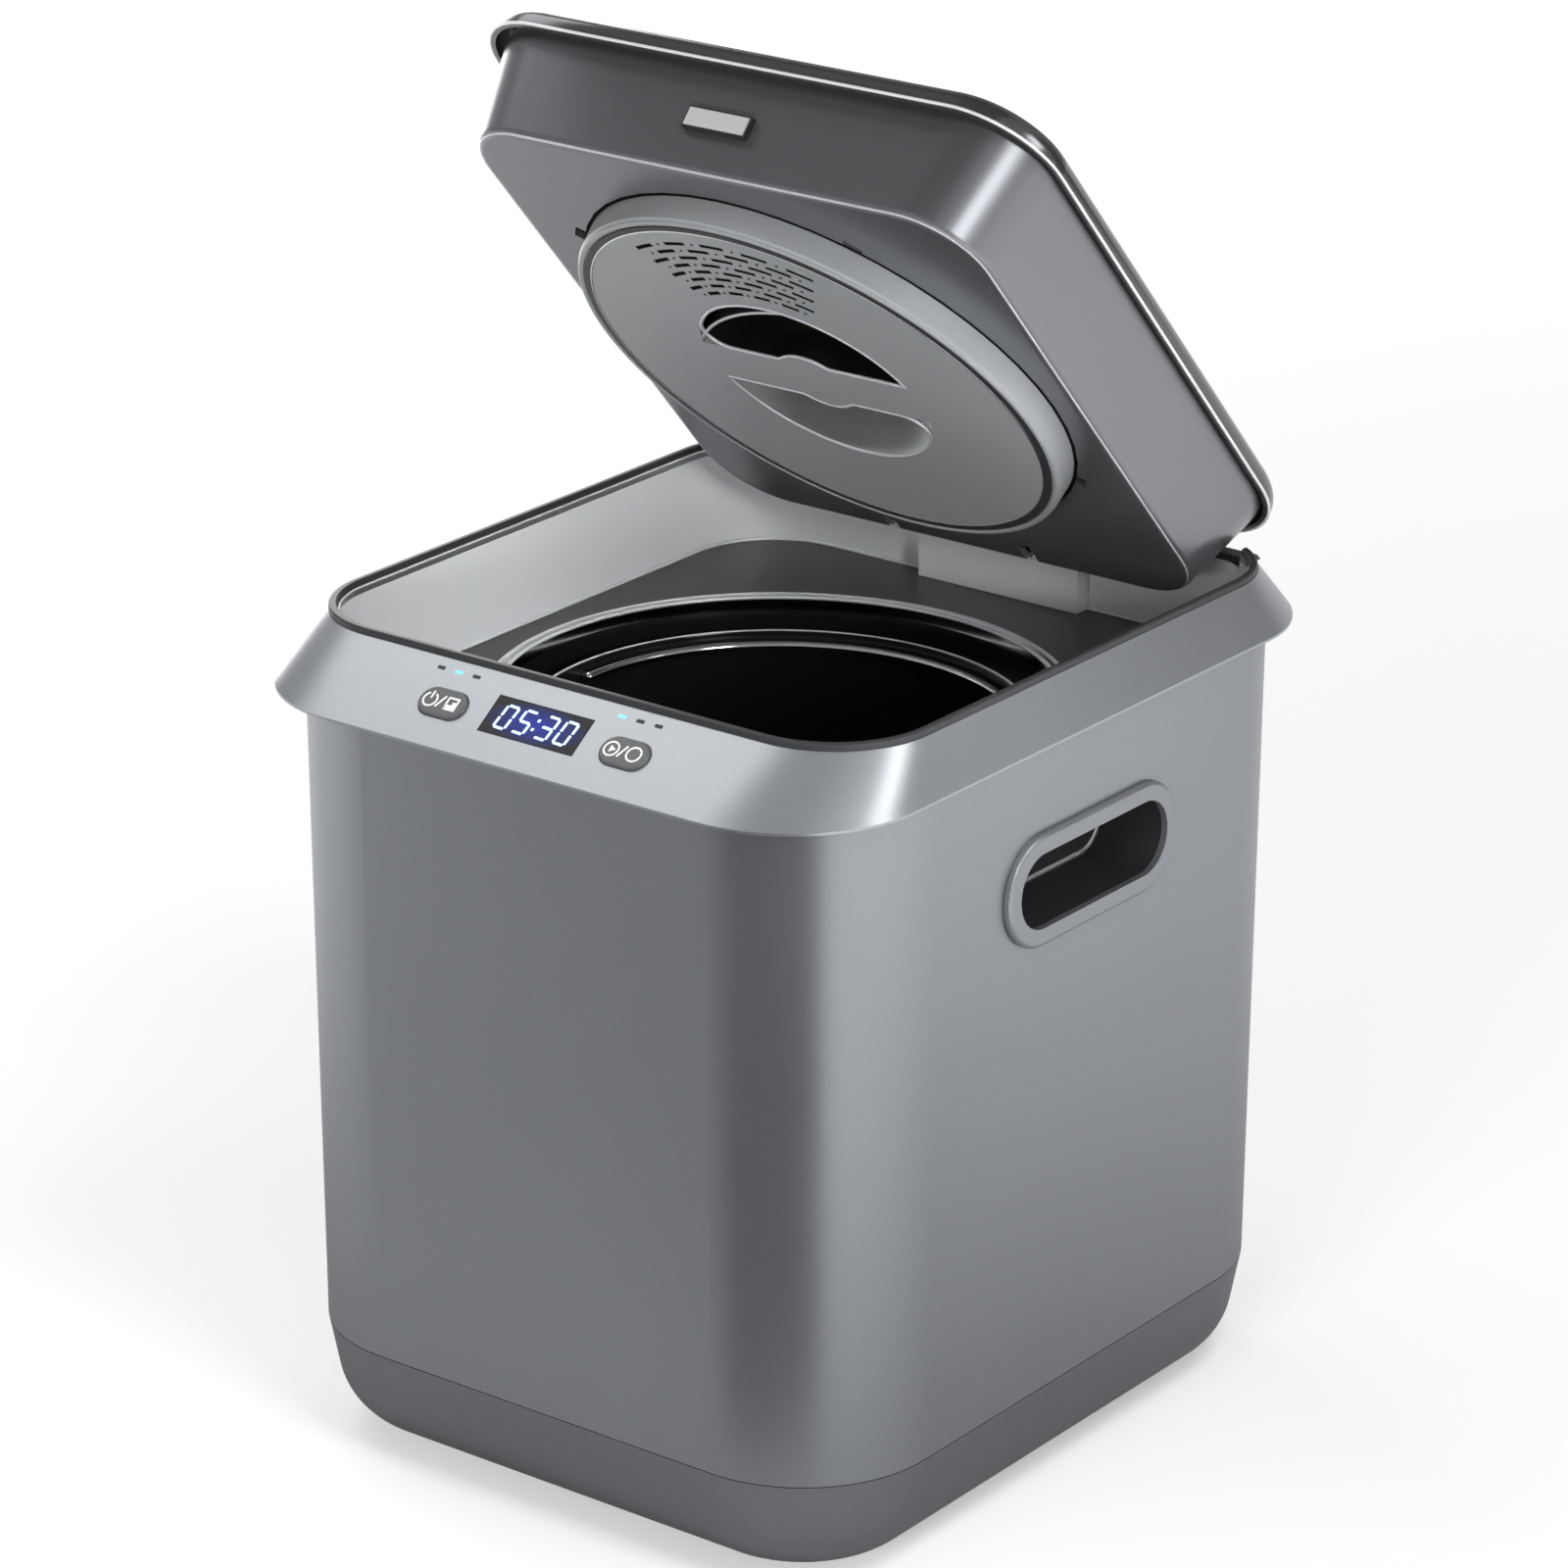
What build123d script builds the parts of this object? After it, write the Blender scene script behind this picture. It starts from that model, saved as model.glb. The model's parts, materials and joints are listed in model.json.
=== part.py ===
from build123d import *
import os
from math import atan2, cos, degrees, hypot, radians, sin

# Electric food waste composter, millimetres, +Z up, front towards -Y.
# The origin is on the floor, under the middle of the body. The lid is drawn open.

# ---------------------------------------------------------------- driving sizes
# fits
fit = 0.3
running = 0.06
slide_fit = 0.25
touch = 0.1

# body and base
body_half_w = 133.6
body_half_d = 150.5
body_corner_r = 56.0
body_draft = 2.2
body_wall = 1.5
seam_z = 45.0
body_top_z = 297.6
seam_gap = 0.4
tray_bottom_z = 2.5
tray_inset = 8.0
tray_edge_r = 28.0
tray_wall = 4.0
tray_floor = 3.0
tray_rim_rise = 5.0
tray_rim_t = 2.0
tray_rim_root = 8.0
foot_r = 10.0
foot_x = body_half_w - 59.6
foot_y = body_half_d - 58.5
foot_recess = 1.0

# collar: how far it stands out at its foot, and how its slopes run in to the lip
collar_side_over = 2.4
collar_end_over = 11.9
collar_side_run = 7.0
collar_front_run = 29.8
collar_back_run = 22.6
collar_rise = 21.9
collar_band = 1.0
collar_floor = 2.4
collar_skin = 2.0
lip_plate = 2.7
collar_half_w = body_half_w + collar_side_over
collar_front_y = -body_half_d - collar_end_over
collar_back_y = body_half_d + collar_end_over
collar_corner_r = body_corner_r - 3.2
lip_half_w = collar_half_w - collar_side_run
lip_front_y = collar_front_y + collar_front_run
lip_back_y = collar_back_y - collar_back_run
lip_corner_r = collar_corner_r - 13.5
lip_z = body_top_z + collar_rise

# well inside the collar
lip_w = 3.5
well_side_run = 7.5
well_front_run = 6.6
well_back_gap = 2.8
well_depth = 38.5
liner_t = 1.6
seal_h = 2.5
seal_inset = 0.4
seal_round = 0.8
well_floor_half_w = lip_half_w - well_side_run
well_floor_front_y = lip_front_y + well_front_run
well_back_y = lip_back_y - well_back_gap
well_floor_z = lip_z - well_depth
well_corner_r = lip_corner_r - 2.3
catch_side = 4.0
catch_below = 6.0
magnet_t = 3.0
magnet_half_h = 5.0

# ring, chamber, bucket and drive, all on one vertical axis
ring_side_gap = 14.5
ring_front_gap = 11.0
ring_w = 4.0
ring_rise = 1.5
ring_flange = 4.0
ring_flange_t = 2.0
ring_edge = 1.2
ring_out_r = well_floor_half_w - ring_side_gap
ring_in_r = ring_out_r - ring_w
axis_y = well_floor_front_y + ring_front_gap + ring_out_r
chassis_z = seam_z + 39.0
chassis_t = 3.0
heater_t = 10.0
chamber_t = 1.8
ledge_w = 6.5
ledge_drop = 13.0
chamber_r = ring_in_r - ledge_w
chamber_floor_z = chassis_z + chassis_t + heater_t + chamber_t + 0.2
ledge_z = well_floor_z - ledge_drop
bucket_gap = 3.5
bucket_drop = 8.5
bucket_lift = 12.0
bucket_t = 1.8
bucket_floor_t = 2.0
bucket_bend_r = 6.0
rim_out = 1.6
rim_h = 2.2
boss_wall = 4.0
boss_h = 9.0
bucket_r = chamber_r - bucket_gap
bucket_top_z = well_floor_z - bucket_drop
bucket_floor_z = chamber_floor_z + bucket_lift
bucket_rim_r = bucket_r + rim_out
bail_rod_r = 1.8
bail_r = bucket_r - 4.5
bail_z = bucket_top_z - 4.5
shaft_r = 6.0
hex_af = 16.0
drive_shaft_r = 5.0
drive_hole_gap = 4.0
cup_r = 13.0
hub_r = 15.0
hub_h = 36.0
blade_reach = bucket_r - 9.0
short_reach = bucket_r - 26.0
blade_t = 5.0
blade_h = 16.0
blade_lean = 35.0

# hinge between the well and the lid
lid_open_deg = 48.0
hinge_y = well_back_y + 2.7
hinge_z = lip_z - 11.3
arm_x = 32.0
arm_w = 10.0
arm_gap = 0.8
arm_barrel_r = 5.0
arm_web_t = 7.0
arm_web_len = 12.0
pin_r = 2.5
shoulder_gap = 1.2
hinge_block_half_w = arm_x + arm_w / 2
block_front_y = well_back_y - 7.5
block_back_y = well_back_y + 9.4
deck_z = lip_z - 3.5
deck_t = 2.5
deck_half_w = lip_half_w - 21.0

# lid, drawn closed and then swung open
cap_half_w = lip_half_w - 4.8
cap_front_y = lip_front_y - 2.8
cap_back_y = hinge_y - 1.9
cap_front_r = lip_corner_r - 6.3
cap_back_r = lip_corner_r + 4.7
cap_z = lip_z + seal_h + fit
cap_h = 9.3
cap_edge_r = 7.4
cap_t = 2.5
lid_reveal = 4.6
lid_front_reveal = 7.8
lid_back_reveal = 4.2
lid_depth = well_depth + 0.2
lid_foot_half_w = cap_half_w - 12.8
lid_foot_front_y = cap_front_y + 12.4
lid_foot_back_y = cap_back_y - 18.0
lid_foot_front_r = cap_front_r - 5.0
lid_foot_back_r = cap_back_r - 15.0
lid_edge_r = 3.2
lid_t = 2.5
lid_neck_gap = 1.3
notch_w = 5.6
notch_len = 12.0
notch_h = 6.0
strike_w = 26.0
strike_h = 6.8
strike_out = 3.2
strike_border = 0.8
strike_drop = 19.2

# filter cover in the underside of the lid
cover_r = ring_in_r - 4.8
cover_lip = 6.7
cover_face_r = cover_r - cover_lip
cover_drop = 10.2
cover_rise = 6.6
cover_gap = 0.7
face_step = 0.6
seal_w = 2.8
seal_depth = 1.6
cover_plate = 3.0
cover_web = 4.2
grip_r = 47.0
grip_bar = 22.0
grip_depth = 12.0
grip_wall = 1.8
grip_bump_r = 11.0
grip_bump_h = 4.5
grip_round_r = 9.0
grip_point_r = 0.8
vent_first_r = grip_r + 7.6
vent_last_r = cover_face_r - 7.3
vent_rows = 8
vent_columns = 5
vent_from_deg = 58.6
vent_step_deg = 12.5
vent_slot_deg = 7.3
vent_w = 1.9
tab_deg = 31.6
twist_deg = 25.0
tab_w = 6.0
tab_t = 2.0
tab_reach = 4.6
housing_t = 1.8
housing_hole_r = 18.0
pad_gap = 1.2
pad_edge = 1.5

# control panel on the front slope
button_x = 40.7
button_w = 20.5
button_h = 12.0
button_s = 18.4
button_proud = 1.3
button_travel = 1.0
button_round = 0.9
button_flange = 1.2
button_flange_t = 1.0
board_depth = 6.2
board_s = 18.0
panel_board_w = 12.0
board_t = 1.6
board_end = 12.0
board_post_x = 25.3
board_post_r = 2.0
key_r = 2.5
display_w = 42.0
display_h = 15.7
display_t = 2.0
display_s = 16.8
light_w = 3.2
light_h = 1.3
light_t = 2.0
light_pitch = 8.0
light_shift = -2.3
light_s = 4.4
left_lit = 1
right_lit = 0

# side handles
handle_z = body_top_z - 53.1
handle_hole_w = 91.0
handle_hole_h = 28.5
bezel_w = 7.0
bezel_proud = 2.9
bezel_round = 1.8
cup_depth = 27.0
cup_t = 1.7

# inside the base
chassis_half_w = body_half_w - 37.6
chassis_half_d = body_half_d - 42.5
chassis_corner_r = 20.0
post_x = chassis_half_w - 16.0
post_y = chassis_half_d - 18.0
post_r = 7.0
screw_r = 2.0
screw_len = 14.0
screw_head_h = 2.35
heater_in_r = 30.0
heater_out_r = chamber_r - 11.5
gearbox_half_w = 40.0
gearbox_front_y = axis_y - 38.0
gearbox_back_y = axis_y + 82.0
gearbox_corner_r = 18.0
gearbox_h = 30.0
groove_w = 8.0
groove_pitch = 18.0
motor_r = 26.0
motor_h = 38.0
motor_y = axis_y + 52.0
motor_boss_r = 8.0
motor_boss_h = 4.0
main_board_x = -gearbox_half_w - 26.0
main_board_y = 10.0
main_board_w = 38.0
main_board_l = 100.0
main_board_z = 14.0
board_foot_r = 3.0
board_foot_inset = 4.0
capacitor_r = 6.5
capacitor_h = 14.5
relay_l = 24.0
relay_h = 12.5

# back
vent_z = body_top_z - 125.6
vent_panel_w = 96.0
vent_panel_h = 72.0
vent_panel_t = 1.6
vent_panel_r = 6.0
vent_rim = 4.0
vent_plug_depth = 4.0
louvre_count = 9
louvre_h = 3.8
inlet_x = 52.0
inlet_z = 78.0
inlet_half_w = 24.0
inlet_half_h = 12.0
inlet_t = 2.0
inlet_corner_r = 4.0
inlet_plug_half_w = 14.0
inlet_plug_half_h = 10.0
inlet_depth = 22.0
socket_w = 23.5
socket_h = 16.0
socket_cut = 4.0
socket_depth = 19.0
contact_w = 2.0
contact_h = 4.0
contact_len = 14.0
contact_pitch = 7.0
fan_size = 60.0
fan_depth = 15.0
fan_rim = 2.0
fan_axle_r = 1.5
fan_strut = 2.0
fan_stator_r = 9.0
fan_hub_r = 10.0
fan_blades = 7


# ---------------------------------------------------------------- helpers
def frame_face(half_w, front_y, back_y, front_r, back_r, z):
    """A rectangle with rounded corners, on the plane at height z."""
    face = Rectangle(2 * half_w, back_y - front_y)
    face = fillet(face.vertices().sort_by(Axis.Y)[:2], front_r)
    face = fillet(face.vertices().sort_by(Axis.Y)[-2:], back_r)
    return Pos(0, (front_y + back_y) / 2, z) * face


def box_between(x0, x1, y0, y1, z0, z1):
    """A box given by its limits."""
    centre = Pos((x0 + x1) / 2, (y0 + y1) / 2, (z0 + z1) / 2)
    return centre * Box(abs(x1 - x0), abs(y1 - y0), abs(z1 - z0))


def ring(r_in, r_out, z0, z1, y=axis_y):
    """A flat ring about a vertical axis."""
    return Pos(0, y, (z0 + z1) / 2) * (Cylinder(r_out, z1 - z0) - Cylinder(r_in, z1 - z0))


def disc(r, z0, z1, x=0.0, y=axis_y):
    """A cylinder about a vertical axis."""
    return Pos(x, y, (z0 + z1) / 2) * Cylinder(r, z1 - z0)


def turned(points, y=axis_y):
    """A solid turned about the vertical axis at y from radius and height points."""
    profile = Plane.XZ * make_face(Polyline(*points, close=True))
    return Pos(0, y, 0) * revolve(profile, Axis.Z)


def stadium_x(length, height, x0, x1, z):
    """A stadium prism that runs along X, long way along Y."""
    face = Plane.YZ * SlotOverall(length, height)
    return Pos(min(x0, x1), 0, z) * extrude(face, amount=abs(x1 - x0), dir=(1, 0, 0))


def prism_x(points, x0, x1):
    """A prism along X with an outline of (y, z) points."""
    face = Plane.YZ * make_face(Polyline(*points, close=True))
    return Pos(x0, 0, 0) * extrude(face, amount=x1 - x0, dir=(1, 0, 0))


def opened(shape):
    """The shape swung with the lid, from closed to the drawn opening."""
    return Pos(0, hinge_y, hinge_z) * Rot(-lid_open_deg, 0, 0) * Pos(0, -hinge_y, -hinge_z) * shape


def mirrored(shape):
    """The same piece on the other side of the middle."""
    return mirror(shape, about=Plane.YZ)


def save(name, shape):
    """Write one sub-part."""
    export_step(shape, f"parts/{name}.step")


# ---------------------------------------------------------------- body and base
def body_half_at(z):
    """Half width of the drafted body at a height."""
    share = (z - seam_z) / (body_top_z - seam_z)
    return body_half_w - body_draft * (1 - share)


def body_back_at(z):
    """Back face of the drafted body at a height."""
    return body_half_d - (body_half_w - body_half_at(z))


def body_loop(inset, z, z_size):
    """Outline of the body, taken in by inset, at height z."""
    shrink = inset + body_half_w - body_half_at(z_size)
    half_d = body_half_d - shrink
    return frame_face(body_half_w - shrink, -half_d, half_d, body_corner_r - shrink, body_corner_r - shrink, z)


def make_body_shell():
    outer = loft([body_loop(0, seam_z, seam_z), body_loop(0, body_top_z, body_top_z)])
    inner = loft([body_loop(body_wall, seam_z, seam_z), body_loop(body_wall, body_top_z, body_top_z)])
    shell = outer - inner
    length = handle_hole_w + 2 * (cup_t + fit)
    height = handle_hole_h + 2 * (cup_t + fit)
    shell -= stadium_x(length, height, -body_half_w - 5, body_half_w + 5, handle_z)
    back = body_half_d
    plug_w = vent_panel_w / 2 - vent_rim + fit
    plug_h = vent_panel_h / 2 - vent_rim + fit
    shell -= box_between(-plug_w, plug_w, back - 20, back + 5, vent_z - plug_h, vent_z + plug_h)
    inlet_w = inlet_plug_half_w + fit
    inlet_h = inlet_plug_half_h + fit
    shell -= box_between(inlet_x - inlet_w, inlet_x + inlet_w, back - 20, back + 5,
                         inlet_z - inlet_h, inlet_z + inlet_h)
    return shell


def tray_loop(inset, z):
    """Outline of the base tray, which narrows towards the floor."""
    share = (seam_z - z) / (seam_z - tray_bottom_z)
    return body_loop(inset + tray_inset * share, z, seam_z)


def base_screw_places():
    return [(x, y) for x in (-post_x, post_x) for y in (-post_y, post_y)]


def make_base_tray():
    top_z = seam_z - seam_gap
    outer = loft([tray_loop(0, top_z), tray_loop(0, tray_bottom_z)])
    outer = fillet(outer.faces().sort_by(Axis.Z)[0].edges(), tray_edge_r)
    floor_z = tray_bottom_z + tray_floor
    inner = loft([tray_loop(tray_wall, top_z), tray_loop(tray_wall, floor_z)])
    inner = fillet(inner.faces().sort_by(Axis.Z)[0].edges(), tray_edge_r - tray_wall)
    tray = outer - inner
    rim_in = body_wall + fit
    rim_z = top_z + tray_rim_rise
    root_z = top_z - tray_rim_root
    rim = extrude(body_loop(rim_in, root_z, seam_z), amount=rim_z - root_z)
    rim -= extrude(body_loop(rim_in + tray_rim_t, root_z, seam_z), amount=rim_z - root_z)
    tray += rim
    for x, y in base_screw_places():
        tray += disc(post_r, floor_z - 0.5, chassis_z, x, y)
        tray -= disc(screw_r + running, chassis_z - screw_len, chassis_z, x, y)
    for x, y in board_feet():
        tray += disc(board_foot_r, floor_z - 0.5, main_board_z - touch, x, y)
    for x in (-foot_x, foot_x):
        for y in (-foot_y, foot_y):
            tray -= disc(foot_r + fit, tray_bottom_z, tray_bottom_z + foot_recess + 0.2, x, y)
    return tray


def make_rubber_feet():
    high = tray_bottom_z + foot_recess
    foot = chamfer(Cylinder(foot_r, high).edges().sort_by(Axis.Z)[0], 0.6)
    places = [Pos(x, y, high / 2) for x in (-foot_x, foot_x) for y in (-foot_y, foot_y)]
    return Compound([place * foot for place in places])


# ---------------------------------------------------------------- collar and well
def collar_loop(inset, front_inset, back_inset, z):
    """Outline of the flared collar at height z, between its foot and its lip."""
    foot_z = body_top_z + collar_band
    share = (z - foot_z) / (lip_z - foot_z)
    half_w = collar_half_w + (lip_half_w - collar_half_w) * share - inset
    front = collar_front_y + (lip_front_y - collar_front_y) * share + front_inset
    back = collar_back_y + (lip_back_y - collar_back_y) * share - back_inset
    radius = collar_corner_r + (lip_corner_r - collar_corner_r) * share - inset
    return frame_face(half_w, front, back, radius, radius, z)


def opening_loop(extra, z):
    """Outline of the opening inside the lip."""
    half_w = lip_half_w - lip_w + extra
    radius = well_corner_r + extra
    return frame_face(half_w, lip_front_y + lip_w - extra, well_back_y + extra, radius, radius, z)


def well_floor_loop(extra, z):
    """Outline of the well at its floor."""
    radius = well_corner_r + extra
    return frame_face(well_floor_half_w + extra, well_floor_front_y - extra, well_back_y + extra,
                      radius, radius, z)


slope_len = hypot(lip_front_y - collar_front_y, lip_z - body_top_z - collar_band)
slope_y = (collar_front_y - lip_front_y) / slope_len
slope_z = (body_top_z + collar_band - lip_z) / slope_len
panel_origin = (0, lip_front_y, lip_z)
panel_plane = Plane(origin=panel_origin, x_dir=(1, 0, 0), z_dir=(0, slope_z, -slope_y))

def on_panel(x, s, shape, depth=0.0):
    """The shape set on the front slope, s below the lip and at a depth under the surface."""
    return panel_plane * Pos(x, -s, -depth) * shape


def light_places():
    """Middle of each status light, as x on the slope, left group first."""
    left = [-button_x + light_shift + light_pitch * step for step in (-1, 0, 1)]
    right = [button_x + light_shift + light_pitch * step for step in (-1, 0, 1)]
    return left, right


def deck_back_y(z):
    """Back slope of the collar at a height."""
    share = (z - body_top_z - collar_band) / (lip_z - body_top_z - collar_band)
    return collar_back_y + (lip_back_y - collar_back_y) * share


def level_skin(run):
    """Level thickness of the collar's skin where the slope runs in by that much."""
    rise = lip_z - body_top_z - collar_band
    return collar_skin * hypot(run, rise) / rise


def arm_slots(z0):
    """Clear space for the two lid arms, above z0."""
    half = arm_w / 2 + arm_gap
    back = hinge_y + arm_barrel_r + 0.6
    slot = box_between(arm_x - half, arm_x + half, well_back_y - 12, back, z0, lip_z + 6)
    return slot + mirrored(slot)


def make_collar():
    foot_z = body_top_z + collar_band
    thick = level_skin(lip_front_y - collar_front_y)
    back_thick = level_skin(collar_back_y - lip_back_y)
    outer = loft([collar_loop(0, 0, 0, foot_z), collar_loop(0, 0, 0, lip_z)])
    outer += extrude(collar_loop(0, 0, 0, foot_z), amount=-collar_band)
    void_top = lip_z - lip_plate
    void_foot = body_top_z + collar_floor
    inner = loft([collar_loop(collar_skin, thick, back_thick, void_foot),
                  collar_loop(collar_skin, thick, back_thick, void_top)])
    collar = outer - inner
    opening = extrude(opening_loop(0, void_top - 1), amount=lip_plate + 2)
    floor_hole = extrude(body_loop(body_wall, body_top_z, body_top_z), amount=collar_floor + 0.2)
    collar = collar - opening - floor_hole
    collar -= box_between(-deck_half_w, deck_half_w, well_back_y - 12, collar_back_y + 5,
                          deck_z - deck_t - fit, lip_z + 5)
    hole = extrude(SlotOverall(button_w + 2 * fit, button_h + 2 * fit), amount=5, both=True)
    window = Box(display_w + 2 * fit, display_h + 2 * fit, 10)
    light = Box(light_w + 0.2, light_h + 0.2, 10)
    for x in (-button_x, button_x):
        collar -= on_panel(x, button_s, hole)
    collar -= on_panel(0, display_s, window)
    for group in light_places():
        for x in group:
            collar -= on_panel(x, light_s, light)
    post_len = board_depth - collar_skin - touch
    for x in (-board_post_x, board_post_x):
        post = Cylinder(board_post_r, post_len + 0.6)
        collar += on_panel(x, board_s, post, collar_skin - 0.6 + (post_len + 0.6) / 2)
    return collar


def make_lip_seal():
    """Soft lip round the opening, left out along the hinge deck."""
    face = collar_loop(seal_inset, seal_inset, seal_inset, lip_z) - opening_loop(fit, lip_z)
    gap = deck_half_w + 1.0
    seal = extrude(face, amount=seal_h)
    seal -= box_between(-gap, gap, well_back_y - 30, collar_back_y, lip_z - 1, lip_z + 10)
    return fillet(seal.faces().sort_by(Axis.Z)[-1].edges(), seal_round)


def make_well_liner():
    top_z = lip_z - lip_plate - touch
    floor_z = well_floor_z
    outer = loft([well_floor_loop(liner_t, floor_z - liner_t), opening_loop(liner_t, top_z)])
    inner = loft([well_floor_loop(0, floor_z), opening_loop(0, top_z)])
    catch_half = strike_w / 2 + catch_side
    catch_low = cap_z - strike_drop - strike_h / 2 - catch_below
    outer += box_between(-catch_half - liner_t, catch_half + liner_t, lip_front_y - 0.2, well_floor_front_y,
                         catch_low - liner_t, top_z)
    liner = outer - inner
    liner -= box_between(-catch_half, catch_half, lip_front_y + 1.4, well_floor_front_y + 10, catch_low, top_z)
    liner -= disc(ring_out_r + fit, floor_z - 5, floor_z + 5)
    block = hinge_block_half_w + fit
    liner -= box_between(-block, block, well_back_y - 1, well_back_y + 10, floor_z, top_z)
    liner -= box_between(-deck_half_w, deck_half_w, well_back_y - 12, well_back_y + 10,
                         deck_z - deck_t - touch, lip_z)
    liner -= arm_slots(hinge_z - arm_barrel_r - shoulder_gap)
    return liner


def make_hinge_block():
    """Block on the well floor, with a knuckle between the two lid arms."""
    shoulder_z = hinge_z - arm_barrel_r - shoulder_gap
    knuckle_half = arm_x - arm_w / 2 - fit
    half = hinge_block_half_w
    block = box_between(-half, half, block_front_y, block_back_y, well_floor_z + touch, shoulder_z)
    block += box_between(-knuckle_half, knuckle_half, hinge_y - arm_barrel_r, hinge_y + arm_barrel_r,
                         shoulder_z - 1, hinge_z)
    block += Pos(0, hinge_y, hinge_z) * Rot(0, 90, 0) * Cylinder(arm_barrel_r, 2 * knuckle_half)
    return block - Pos(0, hinge_y, hinge_z) * Rot(0, 90, 0) * Cylinder(pin_r + running, 4 * arm_x)


def make_hinge_deck():
    """Plate that closes the collar behind the well, lower than the lip."""
    low = deck_z - deck_t
    outline = [(well_back_y, low), (well_back_y, deck_z),
               (deck_back_y(deck_z), deck_z), (deck_back_y(low), low)]
    half = deck_half_w - fit
    return prism_x(outline, -half, half) - arm_slots(low - 1)


def make_hinge_pin():
    length = 2 * arm_x + arm_w
    return Pos(0, hinge_y, hinge_z) * Rot(0, 90, 0) * Cylinder(pin_r, length)


def make_well_ring():
    """Polished ring at the mouth of the chamber."""
    low = well_floor_z - liner_t
    top = well_floor_z + ring_rise
    foot = low - ring_flange_t
    flange_r = ring_out_r + ring_flange
    return turned([(ring_in_r, foot), (flange_r, foot), (flange_r, low - touch),
                   (ring_out_r, low - touch), (ring_out_r, top - ring_edge), (ring_out_r - ring_edge, top),
                   (ring_in_r + ring_edge, top), (ring_in_r, top - ring_edge)])


def make_chamber():
    """Heated pot with a ledge near its mouth."""
    top = well_floor_z - liner_t - ring_flange_t - 0.2
    out_r = chamber_r + chamber_t
    hole = drive_shaft_r + drive_hole_gap
    return turned([(hole, chamber_floor_z - chamber_t), (out_r, chamber_floor_z - chamber_t),
                   (out_r, ledge_z - chamber_t), (ring_in_r + chamber_t, ledge_z - chamber_t),
                   (ring_in_r + chamber_t, top), (ring_in_r, top), (ring_in_r, ledge_z),
                   (chamber_r, ledge_z), (chamber_r, chamber_floor_z), (hole, chamber_floor_z)])


def make_catch_magnet():
    """Magnet behind the front wall of the well that holds the lid shut."""
    z = cap_z - strike_drop
    front = lip_front_y - 0.2 - touch
    half = strike_w / 2
    return box_between(-half, half, front - magnet_t, front, z - magnet_half_h, z + magnet_half_h)


# ---------------------------------------------------------------- bucket and drive
def make_bucket():
    inner = bucket_r - bucket_t
    foot = chamber_floor_z + fit
    boss = shaft_r + boss_wall
    bore = shaft_r + running
    floor_top = bucket_floor_z + bucket_floor_t
    bucket = turned([(bore, bucket_floor_z), (inner - 0.6, bucket_floor_z), (inner - 0.6, foot), (bucket_r, foot),
                     (bucket_r, bucket_top_z - rim_h), (bucket_rim_r, bucket_top_z - rim_h),
                     (bucket_rim_r, bucket_top_z - 0.5), (bucket_rim_r - 0.5, bucket_top_z),
                     (inner, bucket_top_z), (inner, floor_top + bucket_bend_r), (inner - bucket_bend_r, floor_top),
                     (boss, floor_top), (boss, floor_top + boss_h), (bore, floor_top + boss_h)])
    hole = Pos(0, axis_y, bail_z) * Rot(0, 90, 0) * Cylinder(bail_rod_r + slide_fit, 2.4 * bucket_r)
    return bucket - hole


def make_bail_handle():
    """Wire bail, folded back against the rim."""
    bow = Torus(bail_r, bail_rod_r, major_angle=180, align=(Align.CENTER, Align.NONE, Align.CENTER))
    bow += Pos(bail_r, 0, 0) * Sphere(bail_rod_r) + Pos(-bail_r, 0, 0) * Sphere(bail_rod_r)
    reach = bucket_r + 1.2 - bail_r
    pivot = Pos(bail_r + reach / 2, 0, 0) * Rot(0, 90, 0) * Cylinder(bail_rod_r, reach)
    return Pos(0, axis_y, bail_z) * (bow + pivot + mirrored(pivot))


def hexagon(across_flats):
    return RegularPolygon(across_flats / 2, 6, major_radius=False)


def make_agitator():
    """Hub with two long low blades and two short high ones, and a drive cup below the bucket."""
    floor_top = bucket_floor_z + bucket_floor_t
    hub_z = floor_top + boss_h + 0.4
    cup_top = bucket_floor_z - 0.4
    cup_low = chamber_floor_z + 2.3
    body = turned([(0, cup_low), (cup_r, cup_low), (cup_r, cup_top), (shaft_r, cup_top), (shaft_r, hub_z),
                   (hub_r, hub_z), (hub_r - 2, hub_z + hub_h - 22), (hub_r - 8, hub_z + hub_h - 2),
                   (0, hub_z + hub_h)])
    socket = Pos(0, axis_y, cup_low) * extrude(hexagon(hex_af + 2 * fit), amount=cup_top - cup_low - 1.6)
    body -= socket
    low = floor_top + 1.5
    for turn, start, reach, z in ((20, 12.0, blade_reach, low + blade_h / 2),
                                  (200, 12.0, blade_reach, low + blade_h / 2),
                                  (110, 4.0, short_reach, hub_z + 20), (290, 4.0, short_reach, hub_z + 20)):
        length = reach - start
        blade = Pos(start + length / 2, 0, 0) * Rot(blade_lean, 0, 0) * Box(length, blade_t, blade_h)
        body += Pos(0, axis_y, z) * Rot(0, 0, turn) * blade
    return body


def make_drive_coupling():
    top = bucket_floor_z - 2.6
    dog_low = chamber_floor_z + 1.3
    shaft_low = chassis_z - gearbox_h + 6.0
    dog = Pos(0, axis_y, dog_low) * extrude(hexagon(hex_af), amount=top - dog_low)
    return dog + disc(drive_shaft_r, shaft_low, dog_low)


def make_drive_bush():
    low = chamber_floor_z - chamber_t - 2
    flange_z = chamber_floor_z + touch / 2
    bore = drive_shaft_r + running
    bush = ring(bore, drive_shaft_r + drive_hole_gap - touch, low, flange_z + 0.5)
    return bush + ring(bore, drive_shaft_r + drive_hole_gap + 3, flange_z, flange_z + 0.95)


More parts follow.
